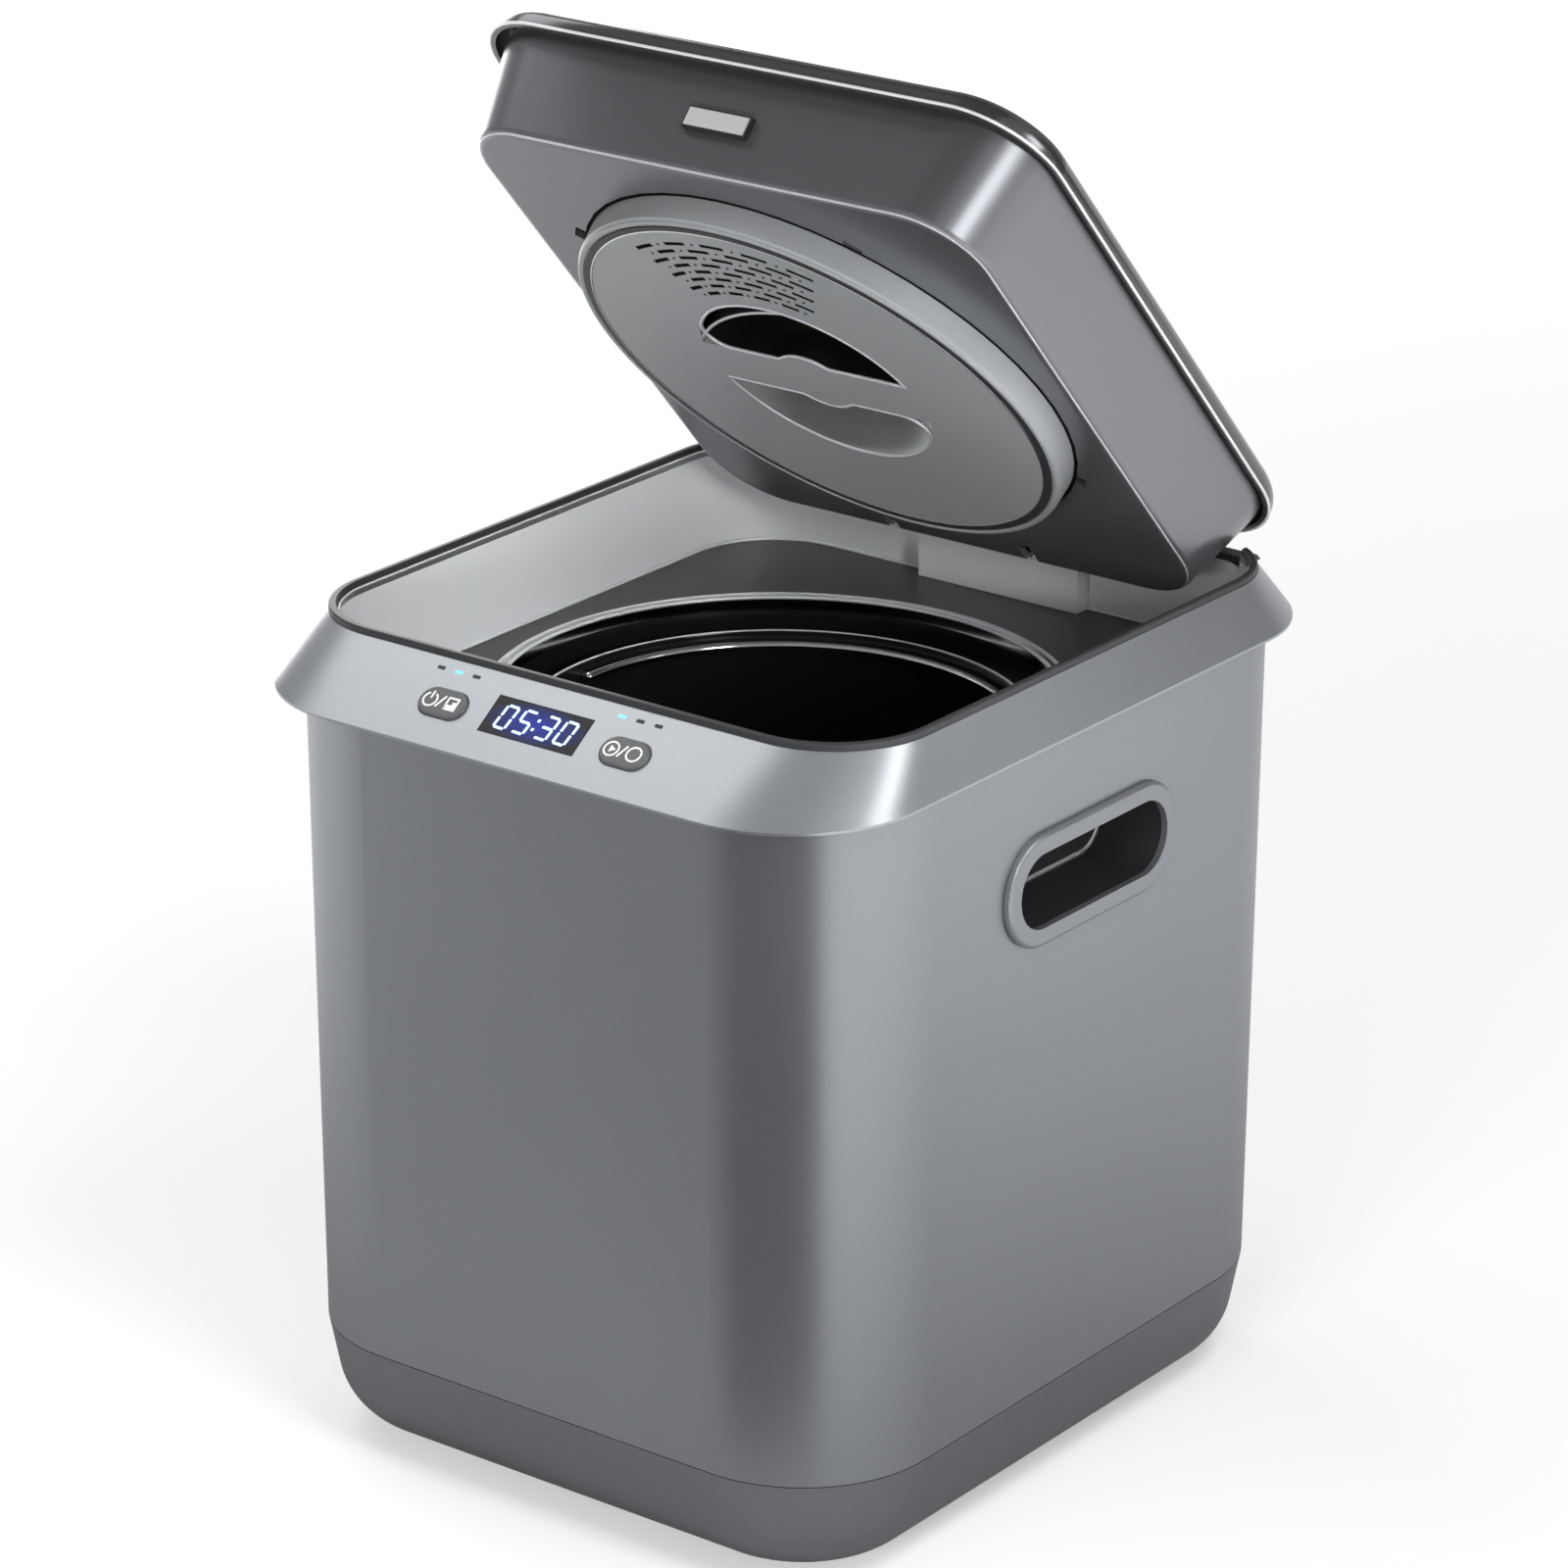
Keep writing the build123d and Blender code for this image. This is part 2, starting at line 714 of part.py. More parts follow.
# ---------------------------------------------------------------- base mechanics
def make_chassis_plate():
    face = frame_face(chassis_half_w, axis_y - chassis_half_d, axis_y + chassis_half_d,
                      chassis_corner_r, chassis_corner_r, chassis_z + touch)
    plate = extrude(face, amount=chassis_t)
    plate -= disc(drive_shaft_r + drive_hole_gap, chassis_z - 1, chassis_z + chassis_t + 1)
    for x, y in base_screw_places():
        plate -= disc(screw_r + fit, chassis_z - 1, chassis_z + chassis_t + 1, x, y)
    return plate


def make_chassis_screws():
    top = chassis_z + touch + chassis_t
    solids = []
    for x, y in base_screw_places():
        head = disc(2 * screw_r, top + touch / 2, top + touch / 2 + screw_head_h, x, y)
        solids.append(head + disc(screw_r, top - screw_len, top + touch, x, y))
    return Compound([solid.solid() for solid in solids])


def make_heater_plate():
    low = chassis_z + touch + chassis_t + touch / 2
    return ring(heater_in_r, heater_out_r, low, chamber_floor_z - chamber_t - touch / 2)


def make_gearbox():
    low = chassis_z - gearbox_h
    face = frame_face(gearbox_half_w, gearbox_front_y, gearbox_back_y, gearbox_corner_r, gearbox_corner_r, low)
    box = extrude(face, amount=gearbox_h)
    box = chamfer(box.faces().sort_by(Axis.Z)[0].edges(), 2.0)
    for step in range(3):
        y = gearbox_front_y + gearbox_corner_r + 2 + groove_pitch * step
        groove = box_between(gearbox_half_w - 2, gearbox_half_w + 1, y, y + groove_w, low + 4, chassis_z - 4)
        box -= groove + mirrored(groove)
    return box - disc(drive_shaft_r + running, low + 5, chassis_z + 1)


def make_motor():
    top = chassis_z - gearbox_h - touch
    low = top - motor_h
    can = disc(motor_r, low, top, 0, motor_y)
    can = chamfer(can.edges().sort_by(Axis.Z)[0], 2.0)
    return can + disc(motor_boss_r, low - motor_boss_h, low + 1, 0, motor_y)


def fan_back_y():
    """Rear face of the fan, against the plug of the rear vent."""
    return body_back_at(vent_z + vent_panel_h / 2) + touch - vent_plug_depth - fit


def make_fan_frame():
    half = fan_size / 2
    back = fan_back_y()
    front = back - fan_depth
    strut_back = front + fan_strut
    frame = box_between(-half, half, front, back, vent_z - half, vent_z + half)
    frame -= Pos(0, back - fan_depth / 2, vent_z) * Rot(90, 0, 0) * Cylinder(half - fan_rim, fan_depth + 1)
    frame += box_between(1 - half, half - 1, front, strut_back, vent_z - fan_strut, vent_z + fan_strut)
    frame += box_between(-fan_strut, fan_strut, front, strut_back, vent_z + 1 - half, vent_z + half - 1)
    frame += Pos(0, strut_back, vent_z) * Rot(90, 0, 0) * Cylinder(fan_stator_r, 2 * fan_strut)
    axle = Cylinder(fan_axle_r, fan_depth - 4)
    return frame + Pos(0, back - fan_depth / 2 - 1, vent_z) * Rot(90, 0, 0) * axle


def make_fan_impeller():
    middle = Pos(0, fan_back_y() - fan_depth / 2 + 1, vent_z)
    rotor = Rot(90, 0, 0) * Cylinder(fan_hub_r, 8)
    blade_len = fan_size / 2 - fan_rim - fan_hub_r
    blade = Pos(fan_hub_r - 2 + blade_len / 2, 0, 0) * Rot(40, 0, 0) * Box(blade_len, 1.2, 9)
    for step in range(fan_blades):
        rotor += Rot(0, step * 360 / fan_blades, 0) * blade
    rotor -= Rot(90, 0, 0) * Cylinder(fan_axle_r + running, fan_depth)
    return middle * rotor


def make_main_board():
    x0, x1 = main_board_x - main_board_w / 2, main_board_x + main_board_w / 2
    y0, y1 = main_board_y - main_board_l / 2, main_board_y + main_board_l / 2
    top = main_board_z + board_t
    board = box_between(x0, x1, y0, y1, main_board_z, top)
    for y in (y0 + 22, y0 + 40):
        board += disc(capacitor_r, top - touch, top - touch + capacitor_h, main_board_x - 8, y)
    relay_y = y1 - 10 - relay_l
    relay = box_between(main_board_x - 4, x1 - 4, relay_y, relay_y + relay_l, top - touch, top - touch + relay_h)
    return board + relay


def board_feet():
    """Places of the four standoffs below the main board."""
    dx = main_board_w / 2 - board_foot_inset
    dy = main_board_l / 2 - board_foot_inset
    return [(main_board_x + sx * dx, main_board_y + sy * dy) for sx in (-1, 1) for sy in (-1, 1)]


# ---------------------------------------------------------------- back fittings
def make_rear_vent():
    """Louvred plate over a plug that fills the opening in the body."""
    face_y = body_back_at(vent_z + vent_panel_h / 2) + touch
    half_w, half_h = vent_panel_w / 2, vent_panel_h / 2
    plug, plug_h = half_w - vent_rim, half_h - vent_rim
    panel = box_between(-half_w, half_w, face_y, face_y + vent_panel_t, vent_z - half_h, vent_z + half_h)
    panel = fillet(panel.edges().filter_by(Axis.Y), vent_panel_r)
    panel += box_between(-plug, plug, face_y - vent_plug_depth, face_y, vent_z - plug_h, vent_z + plug_h)
    pitch = 2 * plug_h / louvre_count
    reach = plug / 2 - vent_rim
    for row in range(louvre_count):
        z = vent_z - plug_h + pitch * (row + 0.5)
        for x in (-plug / 2, plug / 2):
            panel -= box_between(x - reach, x + reach, face_y - 6, face_y + 4, z - louvre_h / 2, z + louvre_h / 2)
    return panel


def inlet_face_y():
    """Where the plate of the power inlet meets the drafted body."""
    return body_back_at(inlet_z + inlet_half_h) + touch


def make_power_inlet():
    face_y = inlet_face_y()
    panel = box_between(inlet_x - inlet_half_w, inlet_x + inlet_half_w, face_y, face_y + inlet_t,
                        inlet_z - inlet_half_h, inlet_z + inlet_half_h)
    panel = fillet(panel.edges().filter_by(Axis.Y), inlet_corner_r)
    panel += box_between(inlet_x - inlet_plug_half_w, inlet_x + inlet_plug_half_w, face_y - inlet_depth, face_y,
                         inlet_z - inlet_plug_half_h, inlet_z + inlet_plug_half_h)
    socket = Rectangle(socket_w, socket_h)
    socket = chamfer(socket.vertices().sort_by(Axis.Y)[-2:], socket_cut)
    cavity = extrude(Plane.XZ * socket, amount=socket_depth, both=True)
    return panel - Pos(inlet_x, face_y + inlet_t, inlet_z) * cavity


def make_inlet_pins():
    back = inlet_face_y() + inlet_t - socket_depth
    pins = []
    for x, z in ((-contact_pitch, -2), (0, 2), (contact_pitch, -2)):
        pin = box_between(-contact_w / 2, contact_w / 2, back + touch / 2, back + contact_len,
                          -contact_h / 2, contact_h / 2)
        pins.append((Pos(inlet_x + x, 0, inlet_z + z) * pin).solid())
    return Compound(pins)


# ---------------------------------------------------------------- side handles
def make_handle_cup():
    """Finger pocket behind the right side handle."""
    face_x = body_half_at(handle_z)
    back_x = face_x - cup_depth
    outer = stadium_x(handle_hole_w + 2 * cup_t, handle_hole_h + 2 * cup_t, back_x, face_x, handle_z)
    inner = stadium_x(handle_hole_w, handle_hole_h, back_x + cup_t, face_x, handle_z)
    return outer - inner


def make_handle_bezel():
    face_x = body_half_at(handle_z + handle_hole_h / 2 + bezel_w) + touch
    out_x = body_half_at(handle_z) + bezel_proud
    length = handle_hole_w + 2 * bezel_w
    height = handle_hole_h + 2 * bezel_w
    plate = stadium_x(length, height, face_x, out_x, handle_z)
    plate = fillet(plate.faces().sort_by(Axis.X)[-1].edges(), bezel_round)
    return plate - stadium_x(handle_hole_w, handle_hole_h, face_x - 1, out_x + 1, handle_z)


# ---------------------------------------------------------------- control panel
def make_button():
    """Push button with a flange that stays behind the collar."""
    flange_top = -collar_skin - 0.4
    cap = Pos(0, 0, flange_top) * extrude(SlotOverall(button_w, button_h), amount=button_proud - flange_top)
    cap = fillet(cap.faces().sort_by(Axis.Z)[-1].edges(), button_round)
    flange = extrude(SlotOverall(button_w + 2 * button_flange, button_h + 2 * button_flange), amount=button_flange_t)
    return cap + Pos(0, 0, flange_top - button_flange_t) * flange


def make_display_window():
    return on_panel(0, display_s, Pos(0, 0, -touch - display_t / 2) * Box(display_w, display_h, display_t))


def make_lights(lit):
    """Status lights of one state: the lit ones or the dark ones."""
    pegs = []
    for group, on in zip(light_places(), (left_lit, right_lit)):
        for index, x in enumerate(group):
            if (index == on) == lit:
                peg = Pos(0, 0, touch - light_t / 2) * Box(light_w, light_h, light_t)
                pegs.append(on_panel(x, light_s, peg).solid())
    return Compound(pegs)


def make_panel_board():
    """Circuit board behind the buttons, with two key switches."""
    board = Pos(0, -board_s, -board_depth - board_t / 2) * Box(2 * (button_x + board_end), panel_board_w, board_t)
    key_h = board_depth - collar_skin - 0.4 - button_flange_t - button_travel - 0.2
    for x in (-button_x, button_x):
        board += Pos(x, -button_s, -board_depth + key_h / 2) * Cylinder(key_r, key_h)
    return panel_plane * board


# ---------------------------------------------------------------- lid, drawn closed
lid_top_half_w = cap_half_w - lid_reveal
lid_top_front_y = cap_front_y + lid_front_reveal
lid_top_back_y = cap_back_y - lid_back_reveal
lid_foot_z = cap_z - lid_depth
cover_face_z = lid_foot_z - cover_drop


def lid_loop(inset, z):
    """Outline of the lid body, which tapers down from the cap."""
    share = (cap_z - z) / lid_depth
    half_w = lid_top_half_w + (lid_foot_half_w - lid_top_half_w) * share - inset
    front = lid_top_front_y + (lid_foot_front_y - lid_top_front_y) * share + inset
    back = lid_top_back_y + (lid_foot_back_y - lid_top_back_y) * share - inset
    top_front_r = cap_front_r - lid_reveal
    top_back_r = cap_back_r - lid_reveal
    front_r = top_front_r + (lid_foot_front_r - top_front_r) * share - inset
    back_r = top_back_r + (lid_foot_back_r - top_back_r) * share - inset
    return frame_face(half_w, front, back, front_r, back_r, z)


def cap_loop(inset, z):
    return frame_face(cap_half_w - inset, cap_front_y + inset, cap_back_y - inset, cap_front_r - inset,
                      cap_back_r - inset, z)


def make_lid_cap():
    cap = extrude(cap_loop(0, cap_z), amount=cap_h)
    cap = fillet(cap.faces().sort_by(Axis.Z)[-1].edges(), cap_edge_r)
    inner = extrude(cap_loop(cap_t, cap_z), amount=cap_h - cap_t)
    inner = fillet(inner.faces().sort_by(Axis.Z)[-1].edges(), cap_edge_r - cap_t)
    return cap - inner


def make_lid_arm():
    """Right hinge arm: a barrel round the pin and a web to the back wall of the lid."""
    wall_y = lid_top_back_y - lid_foot_back_y
    lean = degrees(atan2(wall_y, lid_depth))
    barrel = Pos(arm_x, hinge_y, hinge_z) * Rot(0, 90, 0) * Cylinder(arm_barrel_r, arm_w)
    web = Pos(0, -arm_web_len / 2, 0) * Box(arm_w, arm_web_len, arm_web_t)
    return barrel + Pos(arm_x, hinge_y, hinge_z) * Rot(-lean, 0, 0) * web


def make_lid_shell():
    neck_z = cap_z + cap_h - cap_t - lid_neck_gap
    outer = loft([lid_loop(0, lid_foot_z), lid_loop(0, cap_z)])
    outer = fillet(outer.faces().sort_by(Axis.Z)[0].edges(), lid_edge_r)
    outer += extrude(lid_loop(0, cap_z), amount=neck_z - cap_z)
    floor_z = lid_foot_z + lid_t
    inner = loft([lid_loop(lid_t, floor_z), lid_loop(lid_t, cap_z)])
    inner += extrude(lid_loop(lid_t, cap_z), amount=neck_z - cap_z)
    arm = make_lid_arm()
    shell = outer + arm + mirrored(arm) - inner
    shell -= Pos(0, hinge_y, hinge_z) * Rot(0, 90, 0) * Cylinder(pin_r + running, 4 * arm_x)
    shell -= disc(cover_r + cover_gap, lid_foot_z - 1, floor_z + 1)
    for step in range(4):
        angle = tab_deg + 90 * step
        notch = Pos(cover_r + tab_reach / 2, 0, 0) * Box(tab_reach + 2 * cover_gap, tab_w + 2 * cover_gap, 4 * lid_t)
        shell -= Pos(0, axis_y, floor_z) * Rot(0, 0, angle) * notch
    low_x = arm_x - notch_w / 2
    notch = box_between(low_x, low_x + notch_w, lid_foot_back_y - notch_len, lid_foot_back_y + notch_len,
                        lid_foot_z - 1, lid_foot_z + notch_h)
    return shell - notch - mirrored(notch)


def front_wall_plane(z):
    """Plane on the outside of the front wall of the lid body, at height z."""
    share = (cap_z - z) / lid_depth
    y = lid_top_front_y + (lid_foot_front_y - lid_top_front_y) * share
    lean = (lid_foot_front_y - lid_top_front_y) / lid_depth
    return Plane(origin=(0, y, z), x_dir=(1, 0, 0), z_dir=(0, -1, -lean))


def make_strike_frame():
    plane = front_wall_plane(cap_z - strike_drop)
    high = strike_out - 0.6
    block = Box(strike_w + 2 * strike_border, strike_h + 2 * strike_border, high)
    pocket = Pos(0, 0, high / 2) * Box(strike_w + 2 * touch, strike_h + 2 * touch, 2.0)
    return plane * Pos(0, 0, high / 2 + touch / 2) * (block - pocket)


def make_strike_plate():
    plane = front_wall_plane(cap_z - strike_drop)
    thick = 1.5
    return plane * Pos(0, 0, strike_out - thick / 2) * Box(strike_w, strike_h, thick)


def make_filter_housing():
    low = lid_foot_z + lid_t + touch
    top = cap_z - 0.4
    r = cover_r + tab_reach + 2 * cover_gap
    cup = disc(r + housing_t, low, top) - disc(r, low - 1, top - 2)
    return cup - disc(housing_hole_r, top - 3, top + 1)


def make_carbon_filter():
    pad = disc(cover_r - pad_gap, lid_foot_z + cover_rise + 0.4, cap_z - 2.6)
    return chamfer(pad.edges(), pad_edge)


# ---------------------------------------------------------------- filter cover, drawn closed
def grip_face(extra):
    """The two finger holds either side of the bar, grown by extra, each with a round and a pointed end."""
    bar = grip_bar / 2 - extra
    face = Circle(grip_r + extra) - Rectangle(3 * grip_r, 2 * bar)
    face -= Ellipse(grip_bump_r + 4 - extra, bar + grip_bump_h)
    halves = []
    for half in face.faces():
        for sign, radius in ((1, grip_round_r), (-1, grip_point_r)):
            ends = [v for v in half.vertices() if abs(v.X) > grip_r / 2 and sign * v.X * v.Y > 0]
            half = fillet(ends[:1], radius + extra)
        halves.append(half)
    return halves


def vent_slots():
    """Rows of curved slots, as places about the middle of the cover. Every other row stands half a step late."""
    slots = []
    pitch_r = (vent_last_r - vent_first_r) / (vent_rows - 1)
    for row in range(vent_rows):
        late = row % 2
        for column in range(vent_columns - late):
            angle = vent_from_deg + vent_step_deg * (column + late / 2)
            slots.append((vent_last_r - pitch_r * row, angle, vent_slot_deg))
    return slots


def slot_solid(r, angle, width, z0, height):
    """One curved slot with square ends."""
    a0, a1 = radians(angle), radians(angle + width)
    am = (a0 + a1) / 2
    low, high = r - vent_w / 2, r + vent_w / 2
    points = [(rad * cos(a), rad * sin(a)) for rad, a in
              ((low, a0), (low, am), (low, a1), (high, a1), (high, am), (high, a0))]
    face = make_face(ThreePointArc(points[0], points[1], points[2]) + Line(points[2], points[3])
                     + ThreePointArc(points[3], points[4], points[5]) + Line(points[5], points[0]))
    return Pos(0, 0, z0) * extrude(face, amount=height)


def make_filter_cover():
    """Round bayonet cover: rim, seal groove, vent slots and two finger holds. Built about its own axis."""
    z = cover_face_z
    face_z = z - face_step
    top = lid_foot_z + cover_rise
    web_z = z + cover_web
    groove = cover_face_r + seal_w
    cover = turned([(0, face_z), (cover_face_r - 0.6, face_z), (cover_face_r, z),
                    (cover_face_r, z + seal_depth), (groove, z + seal_depth), (groove, z), (cover_r - 1.6, z),
                    (cover_r - 0.6, z + 1.2), (cover_r, lid_foot_z), (cover_r, top), (cover_r - 2.4, top),
                    (cover_r - 3.0, web_z), (cover_face_r - 1, web_z), (cover_face_r - 3, face_z + cover_plate),
                    (0, face_z + cover_plate)], y=0)
    for outer in grip_face(grip_wall):
        cover += Pos(0, 0, z) * extrude(outer, amount=grip_depth + grip_wall)
    for inner in grip_face(0):
        cover -= Pos(0, 0, z - 2) * extrude(inner, amount=grip_depth + 2)
    cover -= [slot_solid(r, angle, width, z - 2, 8) for r, angle, width in vent_slots()]
    tab_z = lid_foot_z + lid_t + 0.4 + tab_t / 2
    tab = Pos(cover_r + tab_reach / 2 - 0.5, 0, tab_z) * Box(tab_reach + 1.0, tab_w, tab_t)
    for step in range(4):
        cover += Rot(0, 0, tab_deg - twist_deg + 90 * step) * tab
    return Pos(0, axis_y, 0) * Rot(0, 0, 180) * cover


def make_cover_seal():
    z = cover_face_z
    gap = fit / 2
    return ring(cover_face_r + gap, cover_face_r + seal_w - gap, z - face_step, z + seal_depth - touch)


# ---------------------------------------------------------------- writing
def main():
    os.makedirs("parts", exist_ok=True)
    save("base_tray", make_base_tray())
    save("rubber_feet", make_rubber_feet())
    save("body_shell", make_body_shell())
    save("rear_vent", make_rear_vent())
    save("power_inlet", make_power_inlet())
    save("inlet_pins", make_inlet_pins())
    cup = make_handle_cup()
    save("handle_cup_right", cup)
    save("handle_cup_left", mirrored(cup))
    bezel = make_handle_bezel()
    save("handle_bezel_right", bezel)
    save("handle_bezel_left", mirrored(bezel))
    save("collar", make_collar())
    save("lip_seal", make_lip_seal())
    save("well_liner", make_well_liner())
    save("hinge_block", make_hinge_block())
    save("hinge_deck", make_hinge_deck())
    save("hinge_pin", make_hinge_pin())
    save("well_ring", make_well_ring())
    save("chamber", make_chamber())
    save("heater_plate", make_heater_plate())
    save("chassis_plate", make_chassis_plate())
    save("chassis_screws", make_chassis_screws())
    save("gearbox", make_gearbox())
    save("motor", make_motor())
    save("drive_bush", make_drive_bush())
    save("drive_coupling", make_drive_coupling())
    save("fan_frame", make_fan_frame())
    save("fan_impeller", make_fan_impeller())
    save("main_board", make_main_board())
    save("panel_board", make_panel_board())
    save("display_window", make_display_window())
    save("lit_lights", make_lights(True))
    save("dark_lights", make_lights(False))
    save("catch_magnet", make_catch_magnet())
    save("power_button", on_panel(-button_x, button_s, make_button()))
    save("enter_button", on_panel(button_x, button_s, make_button()))
    save("bucket", make_bucket())
    save("bail_handle", make_bail_handle())
    save("agitator", make_agitator())
    save("lid_cap", opened(make_lid_cap()))
    save("lid_shell", opened(make_lid_shell()))
    save("strike_frame", opened(make_strike_frame()))
    save("strike_plate", opened(make_strike_plate()))
    save("filter_housing", opened(make_filter_housing()))
    save("carbon_filter", opened(make_carbon_filter()))
    save("filter_cover", opened(make_filter_cover()))
    save("cover_seal", opened(make_cover_seal()))


if __name__ == "__main__":
    main()
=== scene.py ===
import json
from math import atan2, cos, hypot, pi, radians, sin, sqrt

import bmesh
import bpy
from bpy.props import FloatProperty, FloatVectorProperty, IntProperty, PointerProperty
from mathutils import Matrix, Vector


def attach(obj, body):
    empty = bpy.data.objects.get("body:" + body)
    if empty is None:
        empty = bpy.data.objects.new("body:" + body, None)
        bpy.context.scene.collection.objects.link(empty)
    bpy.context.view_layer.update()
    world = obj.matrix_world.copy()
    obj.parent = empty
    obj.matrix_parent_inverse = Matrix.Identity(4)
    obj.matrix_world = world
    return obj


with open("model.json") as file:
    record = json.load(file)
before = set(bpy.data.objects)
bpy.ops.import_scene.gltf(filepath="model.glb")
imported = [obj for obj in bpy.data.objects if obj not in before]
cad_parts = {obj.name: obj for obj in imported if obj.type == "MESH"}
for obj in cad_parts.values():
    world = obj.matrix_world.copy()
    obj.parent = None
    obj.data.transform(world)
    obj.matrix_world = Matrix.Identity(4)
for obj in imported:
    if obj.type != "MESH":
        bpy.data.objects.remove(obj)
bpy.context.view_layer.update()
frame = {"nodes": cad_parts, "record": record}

bl_info = {
    "name": "Food Waste Composter Dressing",
    "version": (1, 0, 0),
    "blender": (4, 5, 0),
    "location": "View3D > Sidebar > Composter",
    "description": "Finishes, trim, display and filter cover details of a countertop food waste composter",
    "category": "Object",
}

MM = 0.001
NODES = frame["nodes"]

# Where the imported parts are, in millimetres. LID_OPEN and the VENT_ angles are in degrees.
LIP_FRONT_Y, LIP_Z = -132.6, 319.5
COLLAR_FRONT_Y, COLLAR_FOOT_Z = -162.4, 298.6
HINGE_Y, HINGE_Z, LID_OPEN = 139.7, 308.2, 48.0
AXIS_Y, COVER_FACE_Z, LID_FOOT_Z = -8.0, 272.8, 283.6
WELL_FLOOR_Z = 281.2
BUTTON_X, BUTTON_S, BUTTON_PROUD = 40.7, 18.4, 1.3
DISPLAY_S = 16.8
GRIP_R, GRIP_BAR, GRIP_ROUND_R = 47.0, 11.0, 9.0
GRIP_BUMP_W, GRIP_BUMP_H = 15.0, 15.5
VENT_FIRST_R, VENT_LAST_R, VENT_ROWS, VENT_COLUMNS = 54.6, 84.2, 8, 5
VENT_FROM, VENT_STEP, VENT_SLOT = 58.6, 12.5, 7.3
HANDLE_Z, POCKET_X = 244.5, 106.6

# The curved step in the upper finger hold: centre and radius in millimetres, from and to in degrees.
HOLD_RIB_AT, HOLD_RIB_R, HOLD_RIB_FROM, HOLD_RIB_TO = (22.7, 39.8), 85.8, 217.6, 259.8

# Digits: places along the panel and thickness in millimetres, then width and bar as shares of the height.
DIGIT_X, DIGIT_THICK = (-13.2, -4.9, 5.1, 13.4), 0.06
DIGIT_WIDE, DIGIT_BAR = 0.52, 0.11

# Button symbols: thickness of the print and width of a stroke, in millimetres.
PRINT_THICK, STROKE = 0.08, 0.75

# Camera: place in metres, azimuth, tilt and roll in degrees, lens and sensor in millimetres.
CAMERA_AT = (1.31366, -1.73048, 1.07910)
CAMERA_TURN, CAMERA_LENS, CAMERA_SENSOR = (37.27, 21.04, 0.08), 145.39, 36

SLOPE = hypot(LIP_FRONT_Y - COLLAR_FRONT_Y, LIP_Z - COLLAR_FOOT_Z)
SLOPE_Y = (COLLAR_FRONT_Y - LIP_FRONT_Y) / SLOPE
SLOPE_Z = (COLLAR_FOOT_Z - LIP_Z) / SLOPE


# ---------------------------------------------------------------- places
def shift(x, y, z):
    """A move, in mm."""
    return Matrix.Translation(Vector((x, y, z)) * MM)


def panel_matrix(x, s, lift):
    """Place on the sloping control panel: x across, s down from the lip, lift above the surface, in mm."""
    turn = Matrix(((1, 0, 0, 0), (0, -SLOPE_Y, SLOPE_Z, 0), (0, -SLOPE_Z, -SLOPE_Y, 0), (0, 0, 0, 1)))
    origin = shift(0, LIP_FRONT_Y, LIP_Z)
    return origin @ turn @ shift(x, -s, lift)


def lid_matrix():
    """From the shut lid to the lid as it stands open."""
    hinge = Vector((0, HINGE_Y, HINGE_Z)) * MM
    turn = Matrix.Rotation(radians(-LID_OPEN), 4, "X")
    return Matrix.Translation(hinge) @ turn @ Matrix.Translation(-hinge)


def cover_matrix():
    """From a flat drawing of the cover, face down at height 0, to the cover in the open lid."""
    return lid_matrix() @ shift(0, AXIS_Y, COVER_FACE_Z)


# ---------------------------------------------------------------- modelling helpers
def spaced(first, last, steps):
    """Evenly spaced values from first to last, both included."""
    return [first + (last - first) * step / steps for step in range(steps + 1)]


def deselect():
    if bpy.context.object and bpy.context.object.mode != "OBJECT":
        bpy.ops.object.mode_set(mode="OBJECT")
    bpy.ops.object.select_all(action="DESELECT")


def named(name):
    """The object just added, alone in the selection and renamed."""
    piece = bpy.context.object
    piece.name = name
    piece.data.name = name
    return piece


def only(piece):
    deselect()
    piece.select_set(True)
    bpy.context.view_layer.objects.active = piece


def edit(piece):
    only(piece)
    bpy.ops.object.mode_set(mode="EDIT")
    return bmesh.from_edit_mesh(piece.data)


def leave():
    bpy.ops.object.mode_set(mode="OBJECT")


def pick(mesh, wanted, kind="verts"):
    """Select just the elements of an edit mesh for which wanted is true."""
    bpy.ops.mesh.select_all(action="DESELECT")
    mode = {"verts": "VERT", "edges": "EDGE", "faces": "FACE"}[kind]
    bpy.ops.mesh.select_mode(type=mode)
    for element in getattr(mesh, kind):
        if wanted(element):
            element.select_set(True)
    mesh.select_flush_mode()


def place(piece, matrix):
    """Set the piece at its place and fold the place into its mesh."""
    only(piece)
    piece.matrix_world = matrix @ piece.matrix_world
    bpy.ops.object.transform_apply(location=True, rotation=True, scale=True)
    return piece


def add_modifier(piece, kind, **values):
    modifier = piece.modifiers.new(kind.title(), kind)
    for key, value in values.items():
        setattr(modifier, key, value)
    return modifier


def apply_all(piece):
    only(piece)
    for modifier in list(piece.modifiers):
        bpy.ops.object.modifier_apply(modifier=modifier.name)


def smooth(piece, angle=35):
    only(piece)
    bpy.ops.object.shade_smooth_by_angle(angle=radians(angle))


def outward(piece):
    edit(piece)
    bpy.ops.mesh.select_all(action="SELECT")
    bpy.ops.mesh.remove_doubles(threshold=1e-6)
    bpy.ops.mesh.normals_make_consistent(inside=False)
    leave()


def join(pieces, name):
    deselect()
    for piece in pieces:
        piece.select_set(True)
    bpy.context.view_layer.objects.active = pieces[0]
    bpy.ops.object.join()
    return named(name)


def settle(piece, body, material, angle=35):
    """Last step of each piece: finish, shading and the body that carries it."""
    smooth(piece, angle)
    piece.data.materials.clear()
    piece.data.materials.append(material)
    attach(piece, body)
    return piece


